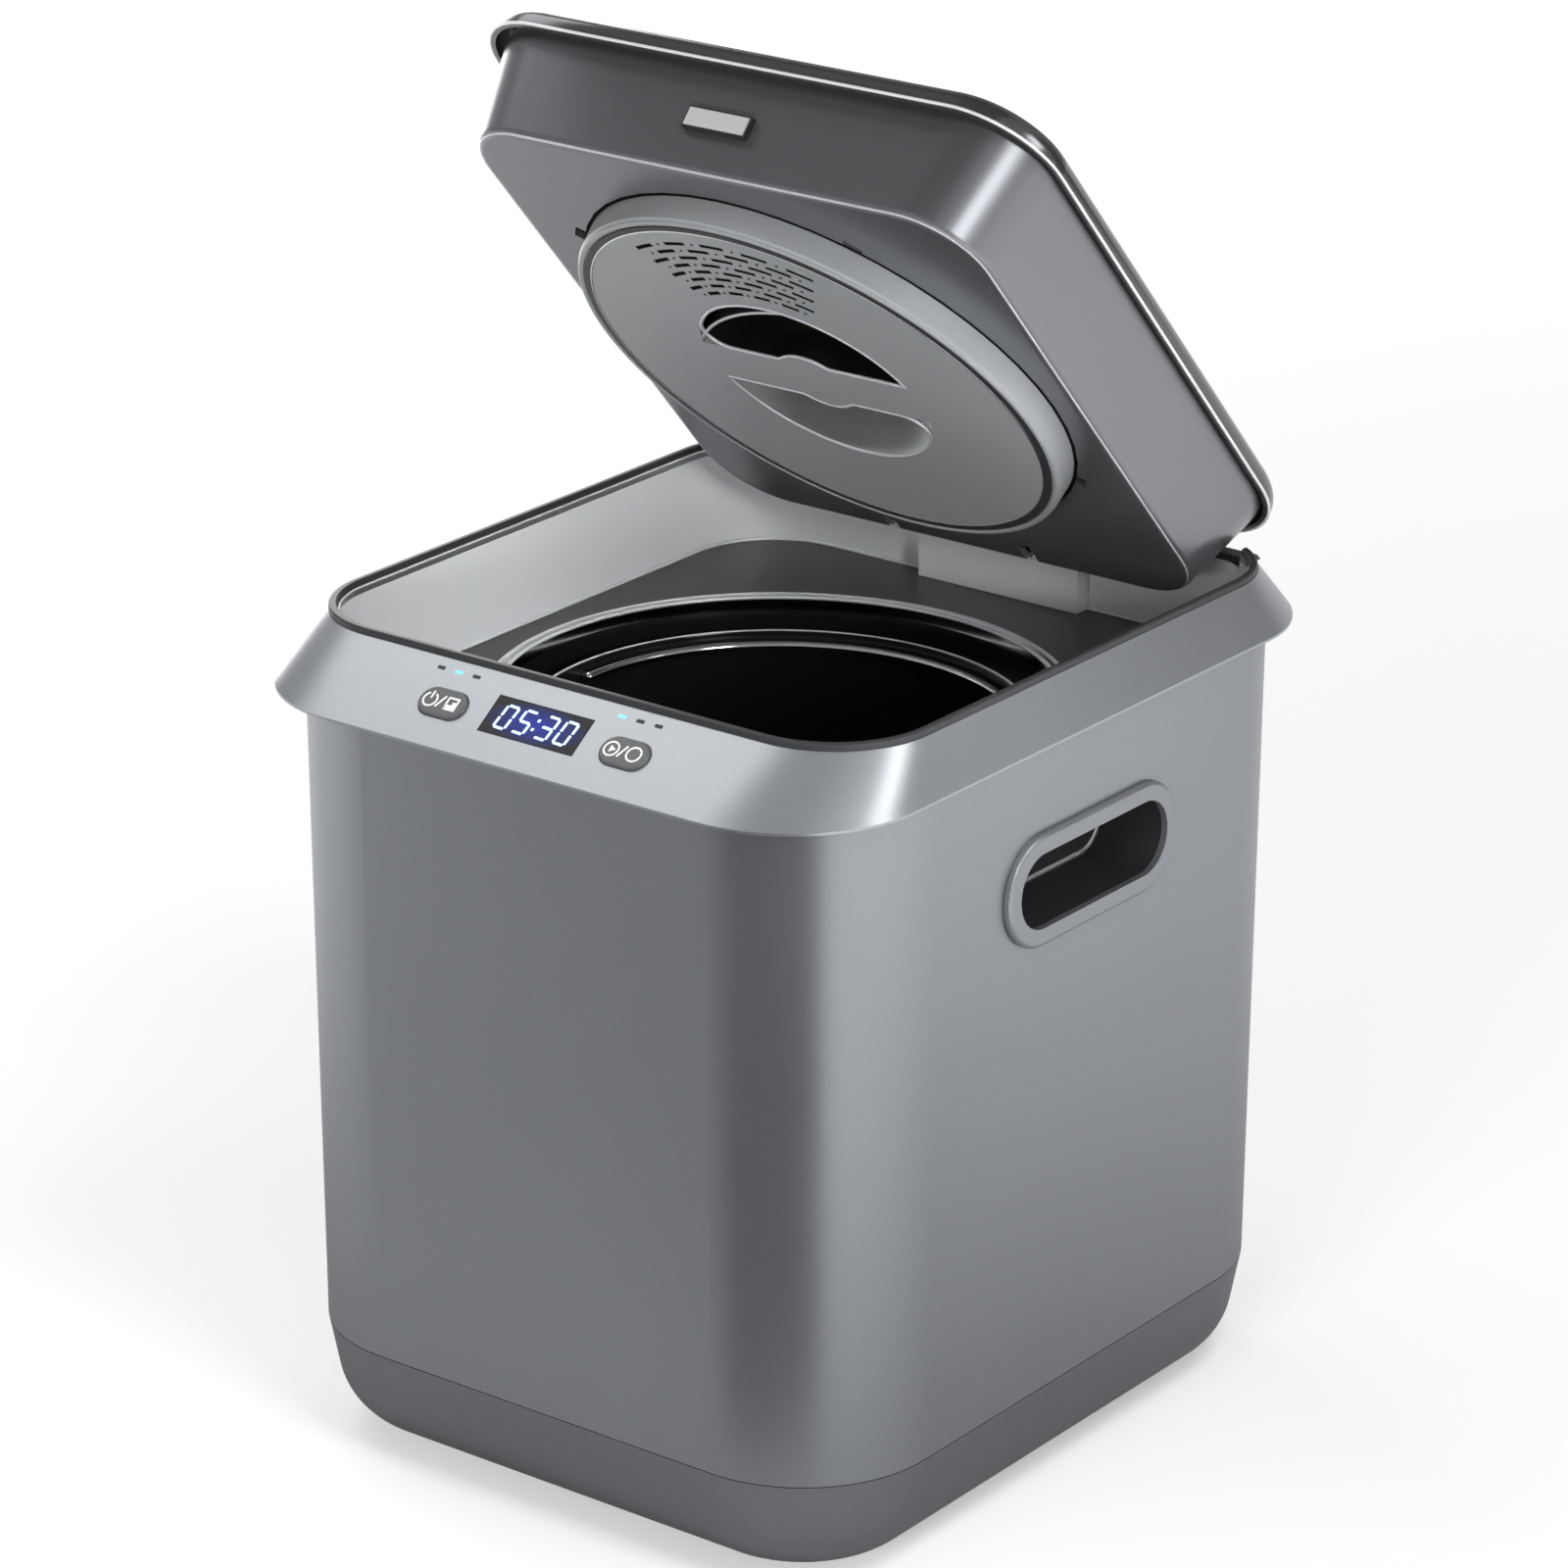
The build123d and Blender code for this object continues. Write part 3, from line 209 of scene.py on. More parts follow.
def slab(name, width, height, thick, corner=0.0, soft=0.0):
    """A flat plate from z 0 to thick, with rounded corners and softened upper edges, in mm."""
    deselect()
    bpy.ops.mesh.primitive_plane_add(size=1, location=(0, 0, 0))
    piece = named(name)
    mesh = edit(piece)
    bpy.ops.transform.resize(value=(width * MM, height * MM, 1))
    if corner:
        bpy.ops.mesh.bevel(offset=corner * MM, segments=8, affect="VERTICES")
    bpy.ops.mesh.select_all(action="SELECT")
    bpy.ops.mesh.extrude_region_move(TRANSFORM_OT_translate={"value": (0, 0, thick * MM)})
    if soft:
        mesh = bmesh.from_edit_mesh(piece.data)
        top = thick * MM
        pick(mesh, lambda e: len(e.link_faces) == 2 and all(abs(v.co.z - top) < 1e-7 for v in e.verts),
             "edges")
        bpy.ops.mesh.bevel(offset=soft * MM, segments=2, affect="EDGES")
    leave()
    outward(piece)
    return piece


def ring_plate(name, inner, outer, thick, from_deg=0.0, to_deg=360.0, steps=48):
    """A flat ring, or part of one, spun about Z from a small rectangle, in mm and degrees."""
    deselect()
    bpy.ops.mesh.primitive_plane_add(size=1, location=(0, 0, 0))
    piece = named(name)
    edit(piece)
    bpy.ops.transform.resize(value=((outer - inner) * MM, thick * MM, 1))
    bpy.ops.transform.translate(value=((outer + inner) / 2 * MM, thick / 2 * MM, 0))
    start = radians(from_deg)
    mesh = bmesh.from_edit_mesh(piece.data)
    for vert in mesh.verts:
        x, y = vert.co.x, vert.co.y
        vert.co = Vector((x * cos(start), x * sin(start), y))
    bmesh.update_edit_mesh(piece.data)
    bpy.ops.mesh.select_all(action="SELECT")
    bpy.ops.mesh.spin(steps=steps, dupli=False, angle=radians(from_deg - to_deg), center=(0, 0, 0),
                      axis=(0, 0, 1))
    if to_deg - from_deg >= 360:
        bpy.ops.mesh.select_all(action="SELECT")
        bpy.ops.mesh.remove_doubles(threshold=1e-6)
        mesh = bmesh.from_edit_mesh(piece.data)
        pick(mesh, lambda f: abs(f.normal.z) < 0.5 and abs(f.calc_center_median().y) < 1e-6
             and f.calc_center_median().x > 0 and abs(f.normal.y) > 0.9, "faces")
        bpy.ops.mesh.delete(type="FACE")
    leave()
    outward(piece)
    return piece


def bead_ring(name, radius, half_w, half_h):
    """A closed bead of flattened round section about Z, in mm."""
    deselect()
    bpy.ops.mesh.primitive_torus_add(major_radius=radius * MM, minor_radius=half_w * MM,
                                     major_segments=160, minor_segments=10)
    piece = named(name)
    edit(piece)
    bpy.ops.mesh.select_all(action="SELECT")
    bpy.ops.transform.resize(value=(1, 1, half_h / half_w))
    leave()
    return piece


def loop_bead(name, half_w, front, back, front_r, back_r, z, radius, open_from=None):
    """A bead that follows a rectangle with rounded corners, in mm. What lies behind open_from is left out."""
    deselect()
    bpy.ops.mesh.primitive_plane_add(size=1, location=(0, 0, 0))
    piece = named(name)
    edit(piece)
    bpy.ops.transform.resize(value=(2 * half_w * MM, (back - front) * MM, 1))
    bpy.ops.transform.translate(value=(0, (front + back) / 2 * MM, z * MM))
    middle = (front + back) / 2 * MM
    for wanted, size in ((lambda v: v.co.y < middle, front_r), (lambda v: v.co.y > middle, back_r)):
        mesh = bmesh.from_edit_mesh(piece.data)
        corners = [v for v in mesh.verts if wanted(v) and abs(abs(v.co.x) - half_w * MM) < 1e-6
                   and (abs(v.co.y - front * MM) < 1e-6 or abs(v.co.y - back * MM) < 1e-6)]
        pick(mesh, lambda v: v in corners)
        bpy.ops.mesh.bevel(offset=size * MM, segments=16, affect="VERTICES")
    bpy.ops.mesh.select_all(action="SELECT")
    bpy.ops.mesh.delete(type="ONLY_FACE")
    if open_from is not None:
        mesh = bmesh.from_edit_mesh(piece.data)
        pick(mesh, lambda e: all(v.co.y > open_from * MM for v in e.verts), "edges")
        bpy.ops.mesh.delete(type="EDGE")
    leave()
    only(piece)
    bpy.ops.object.convert(target="CURVE")
    piece.data.bevel_depth = radius * MM
    piece.data.bevel_resolution = 3
    piece.data.use_fill_caps = True
    bpy.ops.object.convert(target="MESH")
    piece = named(name)
    outward(piece)
    return piece


# ---------------------------------------------------------------- materials
def new_group(name, rows):
    """A node group with the given inputs and defaults, and the three outputs that all groups share."""
    tree = bpy.data.node_groups.new(name, "ShaderNodeTree")
    for title, kind, default in rows:
        socket = tree.interface.new_socket(name=title, in_out="INPUT", socket_type="NodeSocket" + kind)
        socket.default_value = default
    for title, kind in (("Color", "Color"), ("Roughness", "Float"), ("Height", "Float")):
        tree.interface.new_socket(name=title, in_out="OUTPUT", socket_type="NodeSocket" + kind)
    return tree, tree.nodes.new("NodeGroupInput"), tree.nodes.new("NodeGroupOutput")


def fill(node, values):
    """Set inputs of a node by name."""
    for key, value in values.items():
        node.inputs[key].default_value = value


def link(tree, a, b):
    tree.links.new(a, b)


def math_node(tree, operation, a, b):
    node = tree.nodes.new("ShaderNodeMath")
    node.operation = operation
    for index, value in enumerate((a, b)):
        if isinstance(value, (int, float)):
            node.inputs[index].default_value = value
        else:
            link(tree, value, node.inputs[index])
    return node.outputs[0]


def multiply_add(tree, value, factor, plus):
    socket = math_node(tree, "MULTIPLY_ADD", value, factor)
    socket.node.inputs[2].default_value = plus
    return socket


def mix_colours(tree, low, high, factor):
    """A mix that runs from low to high. Each is a colour or a socket."""
    mix = tree.nodes.new("ShaderNodeMix")
    mix.data_type = "RGBA"
    for index, value in ((6, low), (7, high)):
        if isinstance(value, tuple):
            mix.inputs[index].default_value = (*value, 1)
        else:
            link(tree, value, mix.inputs[index])
    link(tree, factor, mix.inputs[0])
    return mix.outputs[2]


def noise(tree, vector, scale, detail=2.0):
    """A noise texture. Its scale is a number or a socket."""
    node = tree.nodes.new("ShaderNodeTexNoise")
    node.inputs["Detail"].default_value = detail
    if isinstance(scale, float):
        node.inputs["Scale"].default_value = scale
    else:
        link(tree, scale, node.inputs["Scale"])
    link(tree, vector, node.inputs["Vector"])
    return node.outputs["Fac"]


def object_coords(tree):
    return tree.nodes.new("ShaderNodeTexCoord").outputs["Object"]


def finish_group(tree, inside, out, tone, uneven, height):
    """Outputs of a finish group: colour varied by tone, roughness by uneven, and the height."""
    scale = tree.nodes.new("ShaderNodeVectorMath")
    scale.operation = "SCALE"
    link(tree, inside.outputs["Base Color"], scale.inputs[0])
    link(tree, multiply_add(tree, tone, 2.0, 1.0), scale.inputs["Scale"])
    link(tree, scale.outputs[0], out.inputs["Color"])
    link(tree, math_node(tree, "ADD", uneven, inside.outputs["Roughness"]), out.inputs["Roughness"])
    link(tree, height, out.inputs["Height"])


def build_satin_grain():
    """Shared effect: slow drift of tone, fine flecks and uneven roughness of a satin coat."""
    tree, inside, out = new_group("satin_grain", (
        ("Base Color", "Color", (0.3, 0.3, 0.3, 1)), ("Drift", "Float", 0.04), ("Drift Scale", "Float", 7.0),
        ("Fleck", "Float", 0.05), ("Fleck Scale", "Float", 1800.0), ("Roughness", "Float", 0.4),
        ("Rough Drift", "Float", 0.06)))
    coords = object_coords(tree)
    slow = noise(tree, coords, inside.outputs["Drift Scale"], 3.0)
    fine = noise(tree, coords, inside.outputs["Fleck Scale"], 1.0)
    slow_off = math_node(tree, "SUBTRACT", slow, 0.5)
    fine_off = math_node(tree, "SUBTRACT", fine, 0.5)
    drift = math_node(tree, "MULTIPLY", slow_off, inside.outputs["Drift"])
    fleck = math_node(tree, "MULTIPLY", fine_off, inside.outputs["Fleck"])
    uneven = math_node(tree, "MULTIPLY", slow_off, inside.outputs["Rough Drift"])
    finish_group(tree, inside, out, math_node(tree, "ADD", drift, fleck), uneven, fine)


def build_fine_lines():
    """Shared effect: fine parallel lines along one axis, for brushed and turned metal."""
    tree, inside, out = new_group("fine_lines", (
        ("Base Color", "Color", (0.6, 0.6, 0.6, 1)), ("Contrast", "Float", 0.08),
        ("Stretch", "Vector", (40.0, 40.0, 2500.0)), ("Roughness", "Float", 0.25)))
    spread = tree.nodes.new("ShaderNodeVectorMath")
    spread.operation = "MULTIPLY"
    link(tree, object_coords(tree), spread.inputs[0])
    link(tree, inside.outputs["Stretch"], spread.inputs[1])
    lines = noise(tree, spread.outputs[0], 1.0)
    amount = math_node(tree, "MULTIPLY", math_node(tree, "SUBTRACT", lines, 0.5), inside.outputs["Contrast"])
    finish_group(tree, inside, out, amount, amount, lines)


def new_material(name):
    material = bpy.data.materials.new(name)
    material.use_nodes = True
    tree = material.node_tree
    return material, tree, tree.nodes["Principled BSDF"]


def grouped(name, group, values, metallic, bump, distance):
    """A material whose colour, roughness and bump come from a shared group."""
    material, tree, shader = new_material(name)
    node = tree.nodes.new("ShaderNodeGroup")
    node.node_tree = bpy.data.node_groups[group]
    fill(node, values)
    link(tree, node.outputs["Color"], shader.inputs["Base Color"])
    link(tree, node.outputs["Roughness"], shader.inputs["Roughness"])
    shader.inputs["Metallic"].default_value = metallic
    raised = tree.nodes.new("ShaderNodeBump")
    fill(raised, {"Strength": bump, "Distance": distance})
    link(tree, node.outputs["Height"], raised.inputs["Height"])
    link(tree, raised.outputs["Normal"], shader.inputs["Normal"])
    return material, tree, shader


def satin(name, colour, metallic, roughness, drift, fleck, fleck_scale, bump, specular=0.5):
    """A satin or matt finish with drift, flecks and a fine bump."""
    values = {"Base Color": (*colour, 1), "Drift": drift, "Fleck": fleck, "Fleck Scale": fleck_scale,
              "Roughness": roughness}
    material, tree, shader = grouped(name, "satin_grain", values, metallic, bump, 0.0002)
    shader.inputs["Specular IOR Level"].default_value = specular
    return material


def lined(name, colour, roughness, contrast, stretch, bump):
    """Brushed or turned bare metal."""
    values = {"Base Color": (*colour, 1), "Contrast": contrast, "Stretch": stretch, "Roughness": roughness}
    return grouped(name, "fine_lines", values, 1.0, bump, 0.0001)[0]


def well_paint(name, wall, floor):
    """Bright satin walls over a dark floor, told apart by height."""
    material = satin(name, wall, 0.20, 0.30, 0.04, 0.06, 1800, 0.06)
    tree = material.node_tree
    base = tree.nodes["Principled BSDF"].inputs["Base Color"]
    colour = base.links[0].from_socket
    split = tree.nodes.new("ShaderNodeSeparateXYZ")
    link(tree, object_coords(tree), split.inputs[0])
    above = math_node(tree, "GREATER_THAN", split.outputs["Z"], WELL_FLOOR_Z * MM)
    link(tree, mix_colours(tree, floor, colour, above), base)
    return material


def glowing(name, colour, edge):
    """A lit mark, a little uneven over its surface."""
    material, tree, shader = new_material(name)
    lit = mix_colours(tree, edge, colour, noise(tree, object_coords(tree), 600.0))
    link(tree, lit, shader.inputs["Emission Color"])
    link(tree, lit, shader.inputs["Base Color"])
    fill(shader, {"Emission Strength": 1.0, "Roughness": 0.3})
    return material


def soft_ball(tree, centre, size):
    """A value that falls from 1 at the centre to 0 at the given size, in the object's own coordinates."""
    mapping = tree.nodes.new("ShaderNodeMapping")
    mapping.vector_type = "TEXTURE"
    fill(mapping, {"Location": centre, "Scale": size})
    link(tree, object_coords(tree), mapping.inputs["Vector"])
    ball = tree.nodes.new("ShaderNodeTexGradient")
    ball.gradient_type = "SPHERICAL"
    link(tree, mapping.outputs["Vector"], ball.inputs["Vector"])
    return ball.outputs["Fac"]


def display_glass(name, colour, halo):
    """Dark window with a painted glow: the glass emits a soft halo round the digits, standing in for their
    light.
    """
    material, tree, shader = new_material(name)
    ball = soft_ball(tree, panel_matrix(0, DISPLAY_S, 0).translation, (0.0225, 0.0090, 0.0080))
    # Painted glow: the glass emits the halo colour, strongest in the middle of the display.
    link(tree, mix_colours(tree, (0, 0, 0), halo, ball), shader.inputs["Emission Color"])
    cloud = noise(tree, object_coords(tree), 300.0)
    link(tree, multiply_add(tree, cloud, 0.03, 0.05), shader.inputs["Roughness"])
    fill(shader, {"Base Color": (*colour, 1), "Specular IOR Level": 0.2, "Emission Strength": 1.0})
    return material


# Slot: name, colour, metal, roughness, drift, fleck, fleck scale, bump and, where it isn't 0.5, specular.
# A word in place of a colour or of the metal is the name of the user's own setting.
SATIN = {
    "body": ("body_paint", "body_colour", "paint_metallic", 0.36, 0.03, 0.10, 2200, 0.10),
    "bezel": ("bezel_paint", "body_colour", "paint_metallic", 0.38, 0.03, 0.10, 2200, 0.10),
    "tray": ("tray_paint", "tray_colour", "paint_metallic", 0.40, 0.04, 0.08, 1800, 0.12),
    "collar": ("collar_paint", "collar_colour", "paint_metallic", 0.34, 0.02, 0.12, 2600, 0.10),
    "lid": ("lid_paint", "lid_colour", "paint_metallic", 0.30, 0.03, 0.08, 2200, 0.07),
    "lid_cap": ("cap_paint", "cap_colour", "paint_metallic", 0.20, 0.02, 0.05, 2600, 0.04),
    "cover": ("cover_paint", "cover_colour", 0.12, 0.40, 0.03, 0.10, 2400, 0.10),
    "scoop": ("scoop_paint", (0.48, 0.49, 0.50), 0.8, 0.30, 0.03, 0.10, 2400, 0.10),
    # Painted highlight: a lighter paint for the beads on the lid's edge, the finger holds' edges and the
    # hold's crest.
    "soft_edge": ("bright_edge", (0.62, 0.63, 0.65), 0.5, 0.30, 0.03, 0.08, 2200, 0.05),
    "trim": ("silver_trim", (0.86, 0.87, 0.88), 0.35, 0.22, 0.02, 0.04, 2600, 0.03),
    "strike": ("strike_coat", (0.74, 0.75, 0.76), 0.5, 0.34, 0.02, 0.05, 1800, 0.05),
    "seal": ("lip_rubber", (0.030, 0.031, 0.034), 0.0, 0.45, 0.10, 0.10, 1500, 0.15),
    "dark": ("dark_moulding", (0.018, 0.0185, 0.020), 0.0, 0.42, 0.10, 0.12, 1400, 0.2),
    # Near-black of unlit openings; on the vent dots and slot sheets, in the upper hold and round the cover it
    # is painted shade.
    "void": ("unlit_opening", (0.004, 0.004, 0.004), 0.0, 0.9, 0.2, 0.3, 900, 0.2, 0.05),
    "coated": ("non_stick_coat", (0.006, 0.006, 0.0065), 0.0, 0.24, 0.10, 0.3, 1600, 0.12, 0.6),
    "button": ("button_moulding", (0.105, 0.108, 0.112), 0.1, 0.40, 0.03, 0.10, 1800, 0.15),
    "print": ("white_print", (0.96, 0.96, 0.96), 0.0, 0.5, 0.02, 0.04, 1800, 0.05),
    "pocket": ("pocket_panel", (0.22, 0.225, 0.235), 0.3, 0.36, 0.06, 0.1, 1800, 0.1),
    "pocket_rim": ("pocket_rim", (0.42, 0.43, 0.44), 0.5, 0.34, 0.04, 0.1, 1800, 0.1),
    "alloy": ("cast_alloy", (0.50, 0.51, 0.53), 1.0, 0.48, 0.08, 0.20, 900, 0.45),
    "board": ("board_varnish", (0.02, 0.10, 0.05), 0.0, 0.30, 0.15, 0.2, 600, 0.3),
    "carbon": ("carbon_fleece", (0.012, 0.012, 0.012), 0.0, 0.95, 0.2, 0.6, 500, 0.9),
    "rubber": ("foot_rubber", (0.02, 0.02, 0.02), 0.0, 0.75, 0.15, 0.3, 700, 0.4),
    "nylon": ("nylon_bush", (0.60, 0.60, 0.57), 0.0, 0.50, 0.03, 0.05, 1800, 0.1),
}


def make_materials(look):
    """Every finish of the composter, by slot name."""
    build_satin_grain()
    build_fine_lines()
    finishes = {}
    for slot, (name, colour, metallic, *rest) in SATIN.items():
        colour = tuple(getattr(look, colour)) if isinstance(colour, str) else colour
        metallic = getattr(look, metallic) if isinstance(metallic, str) else metallic
        finishes[slot] = satin(name, colour, metallic, *rest)
    finishes["liner"] = well_paint("well_paint", tuple(look.liner_colour), (0.035, 0.036, 0.038))
    finishes["polished"] = lined("polished_steel", (0.86, 0.87, 0.88), 0.10, 0.03, (30.0, 30.0, 900.0), 0.02)
    finishes["steel"] = lined("bare_steel", (0.55, 0.55, 0.56), 0.30, 0.10, (40.0, 40.0, 2500.0), 0.04)
    finishes["window"] = display_glass("display_glass", (0.002, 0.002, 0.003), (0.003, 0.020, 0.36))
    finishes["lit"] = glowing("status_light", (0.20, 0.62, 1.0), (0.10, 0.45, 0.95))
    return finishes


MATERIALS = {}


# ---------------------------------------------------------------- user settings
def colour_setting(name, text, value):
    return FloatVectorProperty(name=name, description=text, subtype="COLOR", size=3, min=0, max=1,
                               default=value)


def length_setting(name, text, low, high, value):
    return FloatProperty(name=name, description=text, subtype="DISTANCE", unit="LENGTH", min=low, max=high,
                         default=value)


def power_setting(name, text, value):
    return FloatProperty(name=name, description=text, subtype="POWER", unit="POWER", min=0, max=500,
                         default=value)


class ComposterFinishes(bpy.types.PropertyGroup):
    body_colour: colour_setting("Body", "Colour of the body and the handle bezels", (0.32, 0.332, 0.353))
    # Painted shade: the tray has the body's paint, set a darker colour.
    tray_colour: colour_setting("Base tray", "Colour of the base tray", (0.265, 0.275, 0.293))
    collar_colour: colour_setting("Collar", "Colour of the collar", (0.42, 0.435, 0.455))
    # Painted shade: the lid's colour is set darker than the body's, and the cap, in the lid's paint, darker
    # again.
    lid_colour: colour_setting("Lid", "Colour of the walls and underside of the lid", (0.245, 0.252, 0.266))
    cap_colour: colour_setting("Lid cap", "Colour of the top of the lid", (0.16, 0.163, 0.17))
    cover_colour: colour_setting("Filter cover", "Colour of the filter cover", (0.30, 0.31, 0.32))
    liner_colour: colour_setting("Well", "Colour of the walls of the well", (0.76, 0.77, 0.785))
    paint_metallic: FloatProperty(name="Metal in paint", description="How metallic the satin paints are",
                                  subtype="FACTOR", min=0, max=1, default=0.8)


class ComposterTrim(bpy.types.PropertyGroup):
    well_line: length_setting("Well line", "Radius of the bright bead in the well", 0.0001, 0.003, 0.0007)
    cap_line: length_setting("Cap line", "Radius of the bright bead under the lid cap", 0.0001, 0.003, 0.0006)
    dot_size: length_setting("Vent dot", "Length of the dots between the vent slots", 0.0002, 0.003, 0.0013)
    scoop_depth: length_setting("Scoop depth", "Depth of the scooped finger hold", 0.001, 0.011, 0.0085)


class ComposterDisplay(bpy.types.PropertyGroup):
    digit_height: length_setting("Digit height", "Height of the digits", 0.002, 0.014, 0.0096)
    digit_slant: FloatProperty(name="Digit slant", description="Lean of the digits", subtype="ANGLE",
                               unit="ROTATION", min=0, max=0.6, default=radians(7))
    minutes: IntProperty(name="Time shown", description="Hours and minutes shown, as a four figure number",
                         min=0, max=2359, default=530)


class ComposterStage(bpy.types.PropertyGroup):
    floor_colour: colour_setting("Floor", "Colour of the floor", (0.84, 0.84, 0.845))
    near_glow: FloatProperty(name="Floor glow, near", description="White added to the seen floor close by",
                             min=0, max=1, default=0.26)
    far_glow: FloatProperty(name="Floor glow, far", description="White added to the seen floor far away",
                            min=0, max=1, default=0.62)
    key_power: power_setting("Top light", "Power of the large light above the left side", 6.4)
    side_power: power_setting("Side light", "Power of the tall light at the right", 3.0)
    high_power: power_setting("High light", "Power of the high light at the right", 8.0)
    well_power: power_setting("Well light", "Power of the small light that reaches into the well", 0.13)
    front_power: power_setting("Front light", "Power of the low light that reaches under the lid", 11.0)


# ---------------------------------------------------------------- pieces
class COMPOSTER_OT_finishes(bpy.types.Operator):
    """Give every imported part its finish"""
    bl_idname = "composter.finishes"
    bl_label = "Finishes"

    def execute(self, context):
        MATERIALS.update(make_materials(context.scene.composter_finishes))
        slots = {row["node"]: row["material_slot"] for row in frame["record"]["subparts"]}
        slots.update(handle_bezel_right="bezel", handle_bezel_left="bezel")
        for name, part in NODES.items():
            part.material_slots[0].material = MATERIALS[slots[name]]
        return {"FINISHED"}


class COMPOSTER_OT_trim(bpy.types.Operator):
    """Beads along the well, the lip, the collar, the lid, the ring at the mouth and the bucket's rim"""
    bl_idname = "composter.trim"
    bl_label = "Trim beads"

    def execute(self, context):
        trim = context.scene.composter_trim
        well, cap = trim.well_line / MM, trim.cap_line / MM
        loops = (
            ("well_line", "base", "polished", "trim", (121.2, -125.7, 136.7, 36.7, 36.7, 281.5, well)),
            ("lip_line", "base", "polished", "trim",
             (125.35, -128.95, 136.85, 36.9, 36.9, 319.35, 0.45, 120)),
            ("collar_line", "base", "collar", "collar", (135.5, -161.9, 161.9, 52.3, 52.3, 298.1, 0.42)),
            ("cap_line", "lid", "polished", "trim", (123.9, -135.1, 137.5, 32.7, 43.7, 322.6, cap)),
            # Painted highlight: a bead in a lighter paint than the lid along the rounded lower edge of its
            # walls.
            ("lid_edge_line", "lid", "lid", "soft_edge", (110.5, -122.1, 118.9, 27.2, 28.2, 284.5, 0.5)),
        )
        for name, body, slot, finish, shape in loops:
            bead = loop_bead(name, *shape)
            if body == "lid":
                place(bead, lid_matrix())
            settle(bead, body, MATERIALS[finish], 60)
        rings = (("ring_line_outer", "base", 107.0, 1.0, 0.6, 282.2),
                 ("ring_line_inner", "base", 103.2, 1.0, 0.6, 282.2),
                 ("bucket_rim_line", "bucket", 93.1, 0.8, 0.4, 272.3))
        for name, body, radius, half_w, half_h, z in rings:
            bead = bead_ring(name, radius, half_w, half_h)
            place(bead, shift(0, AXIS_Y, z))
            settle(bead, body, MATERIALS["trim"], 60)
        return {"FINISHED"}


